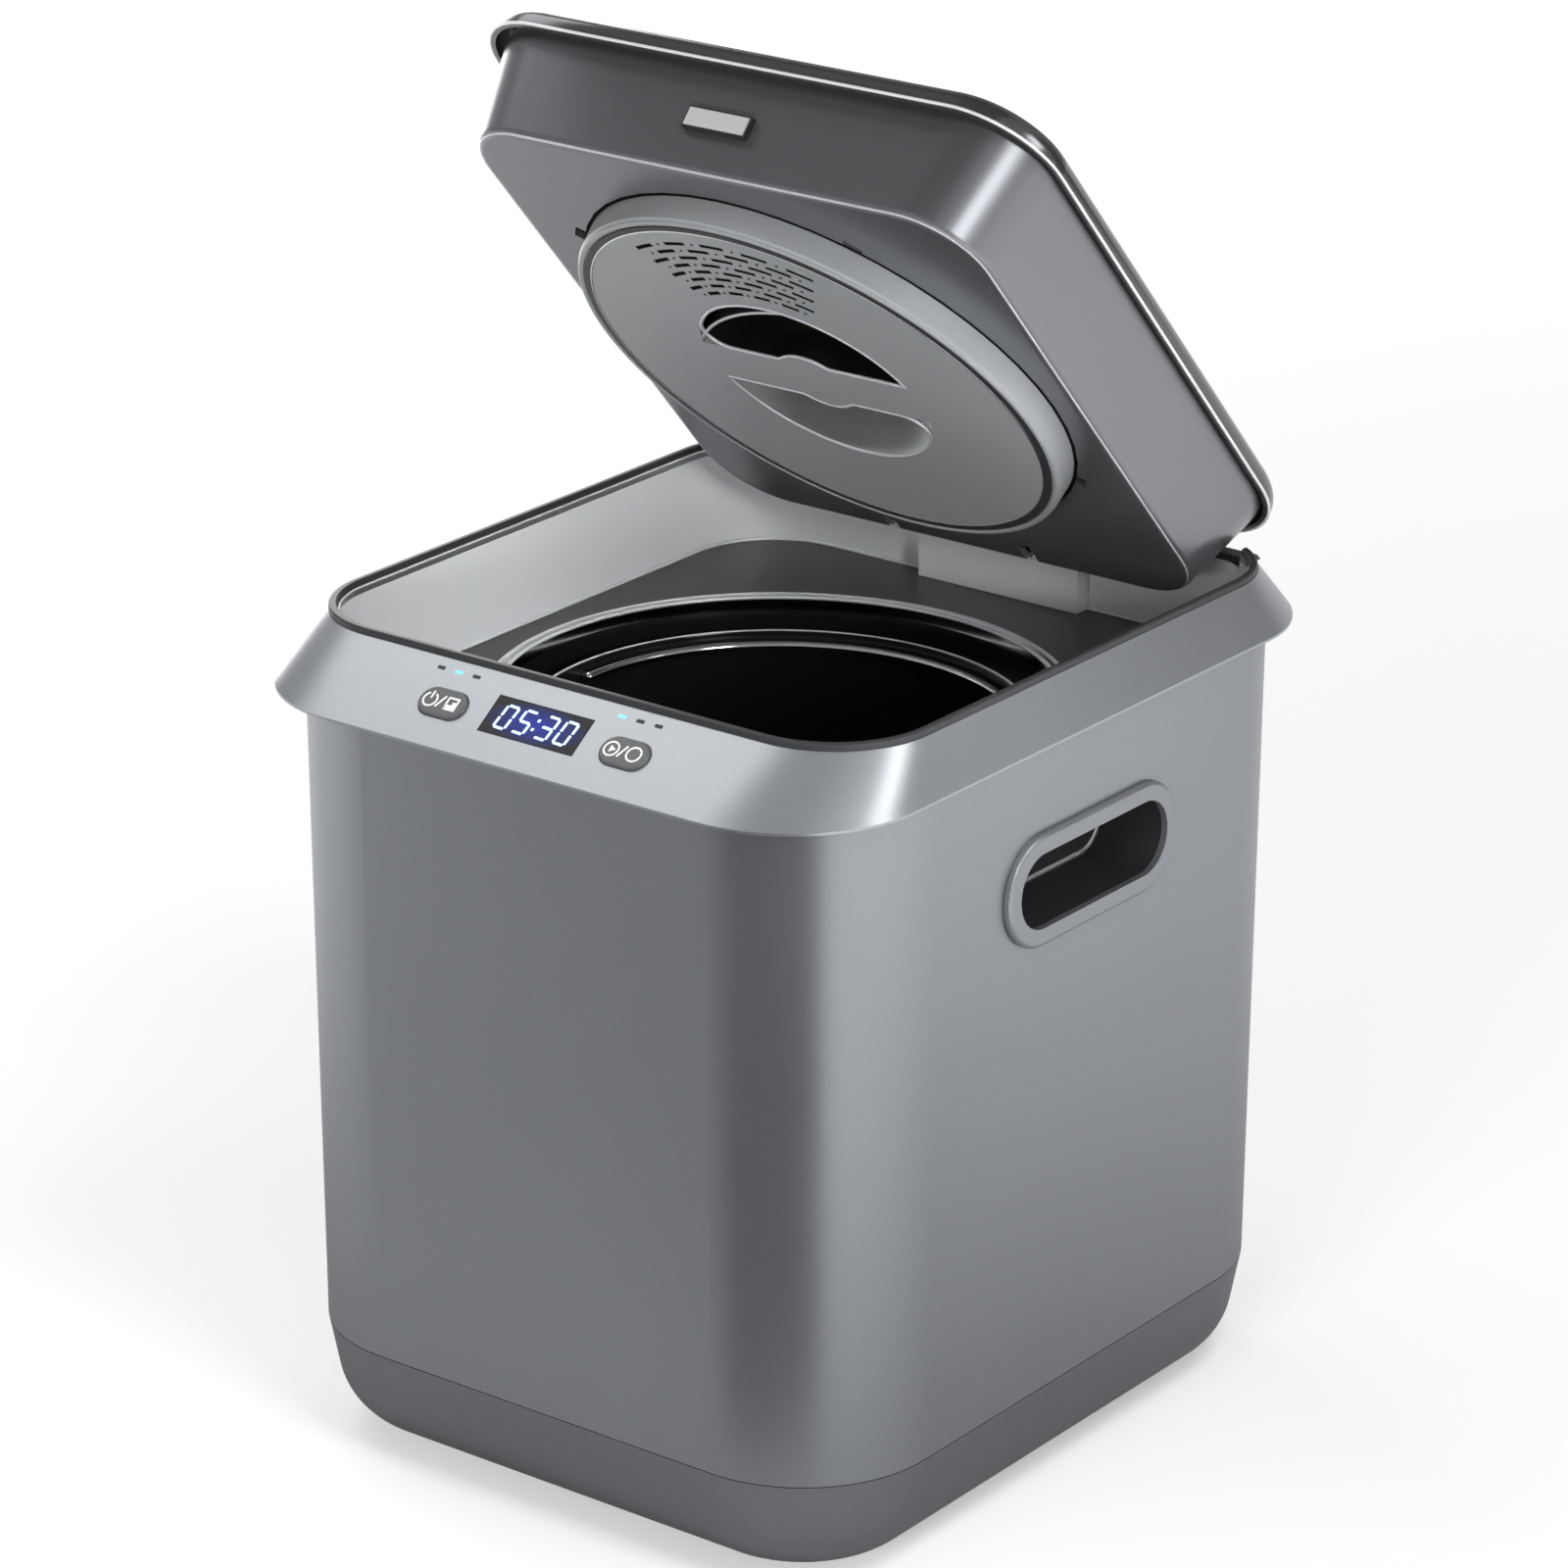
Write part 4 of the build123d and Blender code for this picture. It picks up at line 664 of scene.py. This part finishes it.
class COMPOSTER_OT_filter_cover(bpy.types.Operator):
    """Rim beads, vent dots, the holds' edge beads (painted highlights), step and scoop, and near-black
    painted shade in the vent slots, the upper hold and the gap round the cover
    """
    bl_idname = "composter.filter_cover"
    bl_label = "Filter cover details"

    def on_cover(self, lift):
        """Place on the open cover, lift millimetres behind its face."""
        return cover_matrix() @ Matrix.Translation((0, 0, lift * MM))

    def vent_rows(self):
        """Radius of each row of the vent, and whether that row is set half a step on."""
        pitch = (VENT_LAST_R - VENT_FIRST_R) / (VENT_ROWS - 1)
        for row in range(VENT_ROWS):
            yield VENT_LAST_R - pitch * row, row % 2

    def vent_dots(self, length):
        """Small near-black dots between the slots of each row: painted shade, the dark of unlit openings."""
        deselect()
        bpy.ops.mesh.primitive_cylinder_add(vertices=10, radius=0.5, depth=1)
        first = named("vent_dot")
        edit(first)
        bpy.ops.mesh.select_all(action="SELECT")
        bpy.ops.transform.resize(value=(length, 0.0011, 0.00012))
        mesh = bmesh.from_edit_mesh(first.data)
        pick(mesh, lambda f: abs(f.normal.z) > 0.9, "faces")
        bpy.ops.mesh.inset(thickness=0.00015, depth=0.0)
        leave()
        dots = []
        for radius, late in self.vent_rows():
            for column in range(VENT_COLUMNS - 1 + late):
                angle = VENT_FROM + VENT_STEP * (column + 1 - late / 2) - (VENT_STEP - VENT_SLOT) / 2
                at = radians(angle)
                dot = first.copy()
                dot.data = first.data.copy()
                bpy.context.scene.collection.objects.link(dot)
                turn = Matrix.Rotation(at + pi / 2, 4, "Z")
                place(dot, cover_matrix() @ shift(-radius * cos(at), -radius * sin(at), 0) @ turn)
                dots.append(dot)
        bpy.data.objects.remove(first)
        return join(dots, "vent_dots")

    def hold_outline(self, side, shrink, steps=24):
        """Points round a finger hold: its arc, pointed end, bar with the thumb bump and rounded end."""
        bar, radius, round_r = GRIP_BAR + shrink, GRIP_R - shrink, GRIP_ROUND_R - shrink
        centre = Vector((sqrt((radius - round_r) ** 2 - (bar + round_r) ** 2), bar + round_r))
        first, last = atan2(centre.y, centre.x), pi - atan2(bar, sqrt(radius ** 2 - bar ** 2))
        points = [Vector((radius * cos(a), radius * sin(a))) for a in spaced(first, last, 2 * steps)]
        tip, foot = points[-1].x, centre.x
        for x in spaced(tip, foot, 2 * steps)[1:]:
            bump = max(0.0, 1 - (x / (GRIP_BUMP_W + shrink)) ** 2)
            points.append(Vector((x, max(bar, (GRIP_BUMP_H + shrink) * sqrt(bump)))))
        turns = spaced(-pi / 2, first, steps // 2)[1:-1]
        points += [centre + round_r * Vector((cos(a), sin(a))) for a in turns]
        return [point * side for point in points]

    def outline_piece(self, name, points, filled):
        """A closed loop through the given points, filled or open, lying flat."""
        deselect()
        fill_type = "NGON" if filled else "NOTHING"
        bpy.ops.mesh.primitive_circle_add(vertices=len(points), radius=1, fill_type=fill_type)
        piece = named(name)
        for vert, point in zip(piece.data.vertices, points):
            vert.co = Vector((point.x, point.y, 0)) * MM
        piece.data.update()
        return piece

    def edge_bead(self, name, points, radius, lift):
        """A rounded lip that follows the given points round a finger hold."""
        piece = self.outline_piece(name, points, False)
        only(piece)
        bpy.ops.object.convert(target="CURVE")
        piece.data.bevel_depth = radius * MM
        piece.data.bevel_resolution = 2
        bpy.ops.object.convert(target="MESH")
        piece = named(name)
        outward(piece)
        return place(piece, self.on_cover(lift))

    def lining(self):
        """Painted shade in the upper finger hold: a near-black sheet over its floor and walls, a little
        inside the moulding.
        """
        piece = self.outline_piece("upper_hold_lining", self.hold_outline(-1, 0.12), True)
        edit(piece)
        bpy.ops.mesh.select_all(action="SELECT")
        bpy.ops.mesh.extrude_region_move(TRANSFORM_OT_translate={"value": (0, 0, 11.0 * MM)})
        mesh = bmesh.from_edit_mesh(piece.data)
        pick(mesh, lambda f: abs(f.calc_center_median().z) < 1e-6, "faces")
        bpy.ops.mesh.delete(type="FACE")
        leave()
        add_modifier(piece, "SOLIDIFY", thickness=0.0001, offset=0.0)
        apply_all(piece)
        outward(piece)
        return place(piece, self.on_cover(0.8))

    def vent_screens(self):
        """Painted shade: a near-black sheet just behind each slot of the vent, standing in for the shade
        inside it.
        """
        dark_sheets, half = [], 0.93
        for radius, late in self.vent_rows():
            for column in range(VENT_COLUMNS - late):
                start = 180 + VENT_FROM + VENT_STEP * (column + late / 2)
                arc = (start, start + VENT_SLOT, 6)
                dark_sheet = ring_plate("vent_screen", radius - half, radius + half, 0.6, *arc)
                dark_sheets.append(place(dark_sheet, self.on_cover(0.06)))
        return join(dark_sheets, "vent_screens")

    def scoop(self, depth):
        """Smooth scooped floor of the lower finger hold, shallow at its left and deep at its right."""
        columns, rows = 56, 20
        deselect()
        bpy.ops.mesh.primitive_grid_add(x_subdivisions=columns, y_subdivisions=rows, size=2)
        piece = named("lower_hold_scoop")
        reach = sqrt(GRIP_R ** 2 - GRIP_BAR ** 2)
        for vert in piece.data.vertices:
            u, v = (vert.co.x + 1) / 2, (vert.co.y + 1) / 2
            x = -reach + 2 * reach * u
            low = GRIP_BAR
            bump = 1 - (x / GRIP_BUMP_W) ** 2
            if bump > 0:
                low = max(low, GRIP_BUMP_H * sqrt(bump))
            high = max(low + 0.05, sqrt(max(0.0, GRIP_R ** 2 - x * x)))
            along = min(1.0, u / 0.62)
            along = along * along * (3 - 2 * along)
            end = min(1.0, (1 - u) / 0.07)
            end = sqrt(max(0.0, 1 - (1 - end) ** 2))
            across = sin(pi * min(1.0, max(0.0, v)) ** 0.5) ** 0.75 if 0 < v < 1 else 0.0
            vert.co = Vector((x, low + (high - low) * v, 0.02 + depth * along * end * across)) * MM
        piece.data.update()
        add_modifier(piece, "SOLIDIFY", thickness=0.0005, offset=1.0)
        apply_all(piece)
        outward(piece)
        return place(piece, cover_matrix())

    def hold_step(self):
        """Curved step in the upper finger hold: a wall in near-black painted shade with a crest in a lighter
        paint, a painted highlight.
        """
        spot = shift(*HOLD_RIB_AT, 0)
        arc = (HOLD_RIB_FROM, HOLD_RIB_TO, 24)
        rib = ring_plate("upper_hold_rib", HOLD_RIB_R, HOLD_RIB_R + 0.9, 10.5, *arc)
        place(rib, self.on_cover(0.8) @ spot)
        # Painted shade: the step's wall is near-black.
        settle(rib, "cover", MATERIALS["dark"])
        crest = ring_plate("upper_hold_crest", HOLD_RIB_R - 0.2, HOLD_RIB_R + 1.1, 1.0, *arc)
        add_modifier(crest, "BEVEL", width=0.00045, segments=3, limit_method="ANGLE")
        apply_all(crest)
        place(crest, self.on_cover(0.3) @ spot)
        settle(crest, "cover", MATERIALS["soft_edge"])

    def execute(self, context):
        trim = context.scene.composter_trim
        bead = place(bead_ring("cover_rim_bead", 95.7, 1.25, 0.75), self.on_cover(0.6))
        settle(bead, "cover", MATERIALS["cover"], 60)
        line = place(bead_ring("cover_face_line", 91.35, 0.38, 0.38), self.on_cover(0.2))
        settle(line, "cover", MATERIALS["polished"], 60)
        for piece in (self.vent_dots(trim.dot_size), self.vent_screens(), self.lining()):
            settle(piece, "cover", MATERIALS["void"])
        # Painted shadow: a near-black ring under the lid stands in for the shaded gap round the cover.
        shadow_ring = ring_plate("cover_gasket", 98.3, 99.7, 0.2)
        place(shadow_ring, self.on_cover(LID_FOOT_Z - COVER_FACE_Z - 0.15))
        settle(shadow_ring, "lid", MATERIALS["void"])
        # Painted highlight: beads in a lighter paint than the cover round the edges of both holds.
        for word, side in (("upper", -1), ("lower", 1)):
            edge = self.edge_bead(f"{word}_hold_edge", self.hold_outline(side, 0.2), 0.7, 0.3)
            settle(edge, "cover", MATERIALS["soft_edge"], 60)
        self.hold_step()
        settle(self.scoop(trim.scoop_depth / MM), "cover", MATERIALS["scoop"], 50)
        return {"FINISHED"}


class COMPOSTER_OT_digits(bpy.types.Operator):
    """Seven bar digits behind the display window"""
    bl_idname = "composter.digits"
    bl_label = "Display digits"

    bars = {0: "abcdef", 1: "bc", 2: "abged", 3: "abgcd", 4: "fgbc", 5: "afgcd", 6: "afgedc", 7: "abc",
            8: "abcdefg", 9: "abcfgd"}

    def bar(self, name, length, thick):
        """One bar with pointed ends, lying along X."""
        deselect()
        bpy.ops.mesh.primitive_cylinder_add(vertices=6, radius=0.5, depth=DIGIT_THICK * MM)
        piece = named(name)
        edit(piece)
        bpy.ops.mesh.select_all(action="SELECT")
        bpy.ops.transform.rotate(value=pi / 2, orient_axis="Z", center_override=(0, 0, 0))
        bpy.ops.transform.resize(value=(thick * MM, thick * MM / 0.866, 1))
        mesh = bmesh.from_edit_mesh(piece.data)
        for vert in mesh.verts:
            vert.co.x += (length - thick) / 2 * MM * (1 if vert.co.x > 0 else -1)
        bmesh.update_edit_mesh(piece.data)
        leave()
        return piece

    def execute(self, context):
        settings = context.scene.composter_display
        high = settings.digit_height / MM
        wide, thick = high * DIGIT_WIDE, high * DIGIT_BAR
        half, up = wide / 2, high / 2
        spots = {"a": (0, up, 0), "g": (0, 0, 0), "d": (0, -up, 0), "b": (half, up / 2, 90),
                 "c": (half, -up / 2, 90), "e": (-half, -up / 2, 90), "f": (-half, up / 2, 90)}
        lean = Matrix(((1, sin(settings.digit_slant), 0, 0), (0, 1, 0, 0), (0, 0, 1, 0), (0, 0, 0, 1)))
        shown = f"{settings.minutes:04d}"
        pieces = []
        for figure, x in zip(shown, DIGIT_X):
            for letter in self.bars[int(figure)]:
                bx, by, turn = spots[letter]
                length = (wide if turn == 0 else up) - thick * 0.35
                bar = self.bar("digit_bar", length, thick)
                local = shift(bx, by, 0) @ Matrix.Rotation(radians(turn), 4, "Z")
                place(bar, panel_matrix(x, DISPLAY_S, -0.04) @ lean @ local)
                pieces.append(bar)
        for side in (-1, 1):
            dot = slab("colon_dot", thick * 1.15, thick * 1.15, DIGIT_THICK, 0.2)
            local = shift(0, side * up * 0.42, -0.03)
            place(dot, panel_matrix(0, DISPLAY_S, -0.04) @ lean @ local)
            pieces.append(dot)
        glow = glowing("digit_glow", (0.62, 0.76, 1.0), (0.36, 0.58, 1.0))
        settle(join(pieces, "display_digits"), "base", glow)
        return {"FINISHED"}


class COMPOSTER_OT_symbols(bpy.types.Operator):
    """Printed symbols on the two buttons: power and a square, play and a ring"""
    bl_idname = "composter.symbols"
    bl_label = "Button symbols"

    def print_on(self, pieces, x, body):
        """Set symbol pieces, each with its offset, on the cap of the button at x."""
        for piece, dx, dy, turn in pieces:
            local = Matrix.Rotation(radians(turn), 4, "Z")
            place(piece, panel_matrix(x + dx, BUTTON_S - dy, BUTTON_PROUD - 0.01) @ local)
        mark = join([piece for piece, _, _, _ in pieces], f"{body}_symbols")
        settle(mark, body, MATERIALS["print"])

    def triangle(self, name, radius):
        deselect()
        bpy.ops.mesh.primitive_cylinder_add(vertices=3, radius=radius * MM, depth=PRINT_THICK * MM,
                                            location=(0, 0, PRINT_THICK / 2 * MM), rotation=(0, 0, -pi / 2))
        piece = named(name)
        only(piece)
        bpy.ops.object.transform_apply(location=True, rotation=True, scale=True)
        return piece

    def stroke(self, name, width, height, dx, dy, turn=0):
        """A printed bar, with its offset from the middle of the button."""
        return slab(name, width, height, PRINT_THICK, 0.1), dx, dy, turn

    def circle(self, name, inner, outer, dx, dy, *arc):
        """A printed ring, or part of one, with its offset from the middle of the button."""
        return ring_plate(name, inner, outer, PRINT_THICK, *arc), dx, dy, 0

    def execute(self, context):
        power_sign = [
            self.circle("power_ring", 2.45, 3.2, -5.3, -0.1, 118, 422, 32),
            self.stroke("power_bar", STROKE, 3.2, -5.3, 2.0),
            self.stroke("power_slash", STROKE, 5.6, -0.6, 0.0, -24),
            self.stroke("square_top", 5.2, 0.8, 4.3, 2.4),
            self.stroke("square_low", 5.2, 2.3, 4.3, -1.7),
            self.stroke("square_left", 0.8, 5.4, 2.1, 0.0),
            self.stroke("square_right", 0.8, 5.4, 6.5, 0.0),
            self.stroke("square_mark", 1.7, 1.3, 5.4, 0.2),
        ]
        self.print_on(power_sign, -BUTTON_X, "power_button")
        enter_sign = [
            self.circle("play_ring", 2.55, 3.25, -5.4, 0.0),
            (self.triangle("play_mark", 1.7), -5.2, 0.0, 0),
            self.stroke("enter_slash", STROKE, 5.6, -0.6, 0.0, -24),
            self.circle("plain_ring", 2.55, 3.25, 4.4, 0.0),
        ]
        self.print_on(enter_sign, BUTTON_X, "enter_button")
        return {"FINISHED"}


class COMPOSTER_OT_pockets(bpy.types.Operator):
    """Raised and bordered back panel in each handle pocket"""
    bl_idname = "composter.pockets"
    bl_label = "Handle pocket panels"

    def execute(self, context):
        for side, word in ((1, "right"), (-1, "left")):
            turn = Matrix.Rotation(radians(90), 4, "Z") @ Matrix.Rotation(radians(90), 4, "X")
            if side < 0:
                turn = Matrix.Rotation(pi, 4, "Z") @ turn
            spot = shift(side * (POCKET_X - 0.1), 0, HANDLE_Z)
            panel = slab(f"pocket_panel_{word}", 84, 22, 1.3, 10.9, 0.5)
            place(panel, spot @ turn)
            settle(panel, "base", MATERIALS["pocket"])
            # The border bead is a raised rim; its lighter colour is a painted highlight along the edge where
            # the pocket's walls meet its back.
            rim = loop_bead(f"pocket_rim_{word}", 43.0, -11.9, 11.9, 11.8, 11.8, 0.9, 1.1)
            place(rim, spot @ turn)
            settle(rim, "base", MATERIALS["pocket_rim"], 60)
        return {"FINISHED"}


class COMPOSTER_OT_stage(bpy.types.Operator):
    """Pale floor, soft studio lights, cards for the reflections and the camera"""
    bl_idname = "composter.stage"
    bl_label = "Stage"

    def fade(self, tree, centre, radius, inside, outside):
        """A value that runs from inside, at a spot on the floor, to outside, a radius away."""
        lift = tree.nodes.new("ShaderNodeMapRange")
        fill(lift, {"To Min": outside, "To Max": inside})
        link(tree, soft_ball(tree, (*centre, 0), (radius, radius, radius)), lift.inputs["Value"])
        return lift.outputs["Result"]

    def floor(self, paper, near_glow, far_glow):
        """White paper that glows a little where the camera or a reflection sees it.

        A reflection sees less glow in front of the left corner, behind at the right and close by. Close by, a
        reflection also sees the paper's colour darkened: painted shade near the object.
        """
        deselect()
        bpy.ops.mesh.primitive_plane_add(size=30, location=(0, 0, -0.0002))
        floor = named("floor")
        material, tree, shader = new_material("floor_paper")
        fill(shader, {"Roughness": 0.9, "Specular IOR Level": 0.0, "Emission Color": (1, 1, 1, 1)})
        path = tree.nodes.new("ShaderNodeLightPath")
        seen = self.fade(tree, (0.25, 0.2), 2.2, near_glow, far_glow + 0.24)
        front_left = self.fade(tree, (-0.25, -0.50), 0.8, 0.0, far_glow)
        back_right = self.fade(tree, (0.55, 0.55), 1.4, 0.25, 1.0)
        close_by = self.fade(tree, (0.0, 0.0), 0.75, 0.1, 1.0)
        mirrored = math_node(tree, "MULTIPLY", front_left, math_node(tree, "MULTIPLY", back_right, close_by))
        seen = math_node(tree, "MULTIPLY", seen, path.outputs["Is Camera Ray"])
        other = math_node(tree, "MAXIMUM", path.outputs["Is Glossy Ray"], path.outputs["Is Transmission Ray"])
        mirrored = math_node(tree, "MULTIPLY", mirrored, other)
        # Painted shade: near the object, reflections see the paper darkened towards grey.
        shade = math_node(tree, "MULTIPLY", self.fade(tree, (0.0, 0.0), 0.65, 1.0, 0.0), other)
        link(tree, mix_colours(tree, paper, (0.10, 0.10, 0.10), shade), shader.inputs["Base Color"])
        link(tree, math_node(tree, "ADD", seen, mirrored), shader.inputs["Emission Strength"])
        floor.data.materials.append(material)

    def light(self, name, at, aim, width, height, power):
        deselect()
        bpy.ops.object.light_add(type="AREA", location=at)
        lamp = bpy.context.object
        lamp.name = name
        lamp.data.shape = "RECTANGLE"
        lamp.data.size = width
        lamp.data.size_y = height
        lamp.data.energy = power
        lamp.rotation_euler = (Vector(aim) - Vector(at)).to_track_quat("-Z", "Y").to_euler()
        return lamp

    def card(self, name, corners, tone):
        """A grey card that only reflections see."""
        deselect()
        bpy.ops.mesh.primitive_plane_add(size=1)
        card = named(name)
        for vert, corner in zip(card.data.vertices, corners):
            vert.co = corner
        material, tree, shader = new_material(name + "_cloth")
        fill(shader, {"Base Color": (tone, tone, tone, 1), "Roughness": 1.0, "Specular IOR Level": 0.0})
        card.data.materials.append(material)
        for ray in ("camera", "diffuse", "shadow", "transmission"):
            setattr(card, f"visible_{ray}", False)

    def upright(self, name, start, end, low, high, tone):
        """A card that stands upright between two spots of the floor plan."""
        self.card(name, [(*spot, z) for z in (low, high) for spot in (start, end)], tone)

    def camera(self):
        azimuth, tilt, roll = (radians(angle) for angle in CAMERA_TURN)
        back = Vector((sin(azimuth) * cos(tilt), -cos(azimuth) * cos(tilt), sin(tilt)))
        right = Vector((cos(azimuth), sin(azimuth), 0))
        up = back.cross(right)
        turned = (right * cos(roll) + up * sin(roll), up * cos(roll) - right * sin(roll), back)
        deselect()
        bpy.ops.object.camera_add()
        camera = bpy.context.object
        camera.data.sensor_width = CAMERA_SENSOR
        camera.data.lens = CAMERA_LENS
        camera.data.clip_end = 60
        matrix = Matrix(turned).transposed().to_4x4()
        matrix.translation = Vector(CAMERA_AT)
        camera.matrix_world = matrix
        bpy.context.scene.camera = camera

    def lights(self, stage):
        """Lamps that light and mirror, lamps that only mirror, and lamps that only light."""
        self.light("top_light", (-0.92, 0.12, 1.62), (0, -0.14, 0.31), 1.0, 0.95, stage.key_power)
        for row in (("left_light", (-0.75, 0.45, 0.40), (-0.1, 0.0, 0.15), 0.5, 0.8, 5.0),
                    ("collar_light", (1.15, 0.36, 1.00), (0.12, -0.13, 0.31), 0.4, 0.45, 3.0),
                    ("corner_light", (1.14, -0.46, 0.82), (0.11, -0.09, 0.45), 0.3, 0.5, 3.0)):
            self.light(*row).visible_diffuse = False
        for row in (("high_light", (0.85, -0.35, 1.45), (-0.05, 0.0, 0.30), 0.5, 0.5, stage.high_power),
                    ("well_light", (0.62, -0.25, 0.52), (-0.07, 0.03, 0.29), 0.1, 0.1, stage.well_power),
                    ("side_light", (0.95, 0.35, 0.45), (0.15, 0.05, 0.12), 1.0, 0.9, stage.side_power),
                    ("front_light", (0.45, -1.30, 0.42), (0, 0.0, 0.42), 0.6, 0.2, stage.front_power)):
            lamp = self.light(*row)
            lamp.visible_glossy = False
            lamp.visible_camera = False
            if lamp.name == "well_light":
                lamp.data.spread = radians(34)

    def cards(self):
        """Dark and grey cards that shape the reflections in the body's corner, the right side and the lid."""
        self.upright("front_flag", (0.025, -0.27), (0.235, -0.235), 0.0, 0.30, 0.02)
        self.upright("front_net", (-0.25, -0.31), (0.025, -0.27), 0.0, 0.30, 0.80)
        self.upright("back_flag", (0.74, 0.50), (0.50, 1.15), 0.24, 1.0, 0.02)
        left, right, low, high = -0.12, 0.135, (-0.115, 0.548), (0.06, 0.60)
        self.card("lid_flag", [(x, *end) for end in (low, high) for x in (left, right)], 0.03)

    def execute(self, context):
        stage = context.scene.composter_stage
        self.floor(tuple(stage.floor_colour), stage.near_glow, stage.far_glow)
        self.camera()
        self.lights(stage)
        self.cards()
        world = bpy.data.worlds.new("studio")
        context.scene.world = world
        world.use_nodes = True
        fill(world.node_tree.nodes["Background"], {"Color": (0.98, 0.99, 1.0, 1), "Strength": 0.28})
        context.scene.view_settings.view_transform = "Standard"
        return {"FINISHED"}


class COMPOSTER_PT_panel(bpy.types.Panel):
    """Sidebar panel that lists the settings and the pieces"""
    bl_label = "Composter"
    bl_idname = "COMPOSTER_PT_panel"
    bl_space_type = "VIEW_3D"
    bl_region_type = "UI"
    bl_category = "Composter"

    def draw(self, context):
        layout = self.layout
        for name in ("composter_finishes", "composter_trim", "composter_display", "composter_stage"):
            box = layout.box()
            group = getattr(context.scene, name)
            for key in group.__annotations__:
                box.prop(group, key)
        for operator in STEPS:
            layout.operator(operator.bl_idname)


STEPS = (COMPOSTER_OT_stage, COMPOSTER_OT_finishes, COMPOSTER_OT_trim, COMPOSTER_OT_filter_cover,
         COMPOSTER_OT_digits, COMPOSTER_OT_symbols, COMPOSTER_OT_pockets)
GROUPS = {"composter_finishes": ComposterFinishes, "composter_trim": ComposterTrim,
          "composter_display": ComposterDisplay, "composter_stage": ComposterStage}
CLASSES = (*GROUPS.values(), *STEPS, COMPOSTER_PT_panel)


def register():
    for item in CLASSES:
        bpy.utils.register_class(item)
    for name, group in GROUPS.items():
        setattr(bpy.types.Scene, name, PointerProperty(type=group))


def unregister():
    for name in GROUPS:
        delattr(bpy.types.Scene, name)
    for item in reversed(CLASSES):
        bpy.utils.unregister_class(item)


def main():
    register()
    for step in STEPS:
        family, name = step.bl_idname.split(".")
        getattr(getattr(bpy.ops, family), name)()
    deselect()


if __name__ == "__main__":
    main()
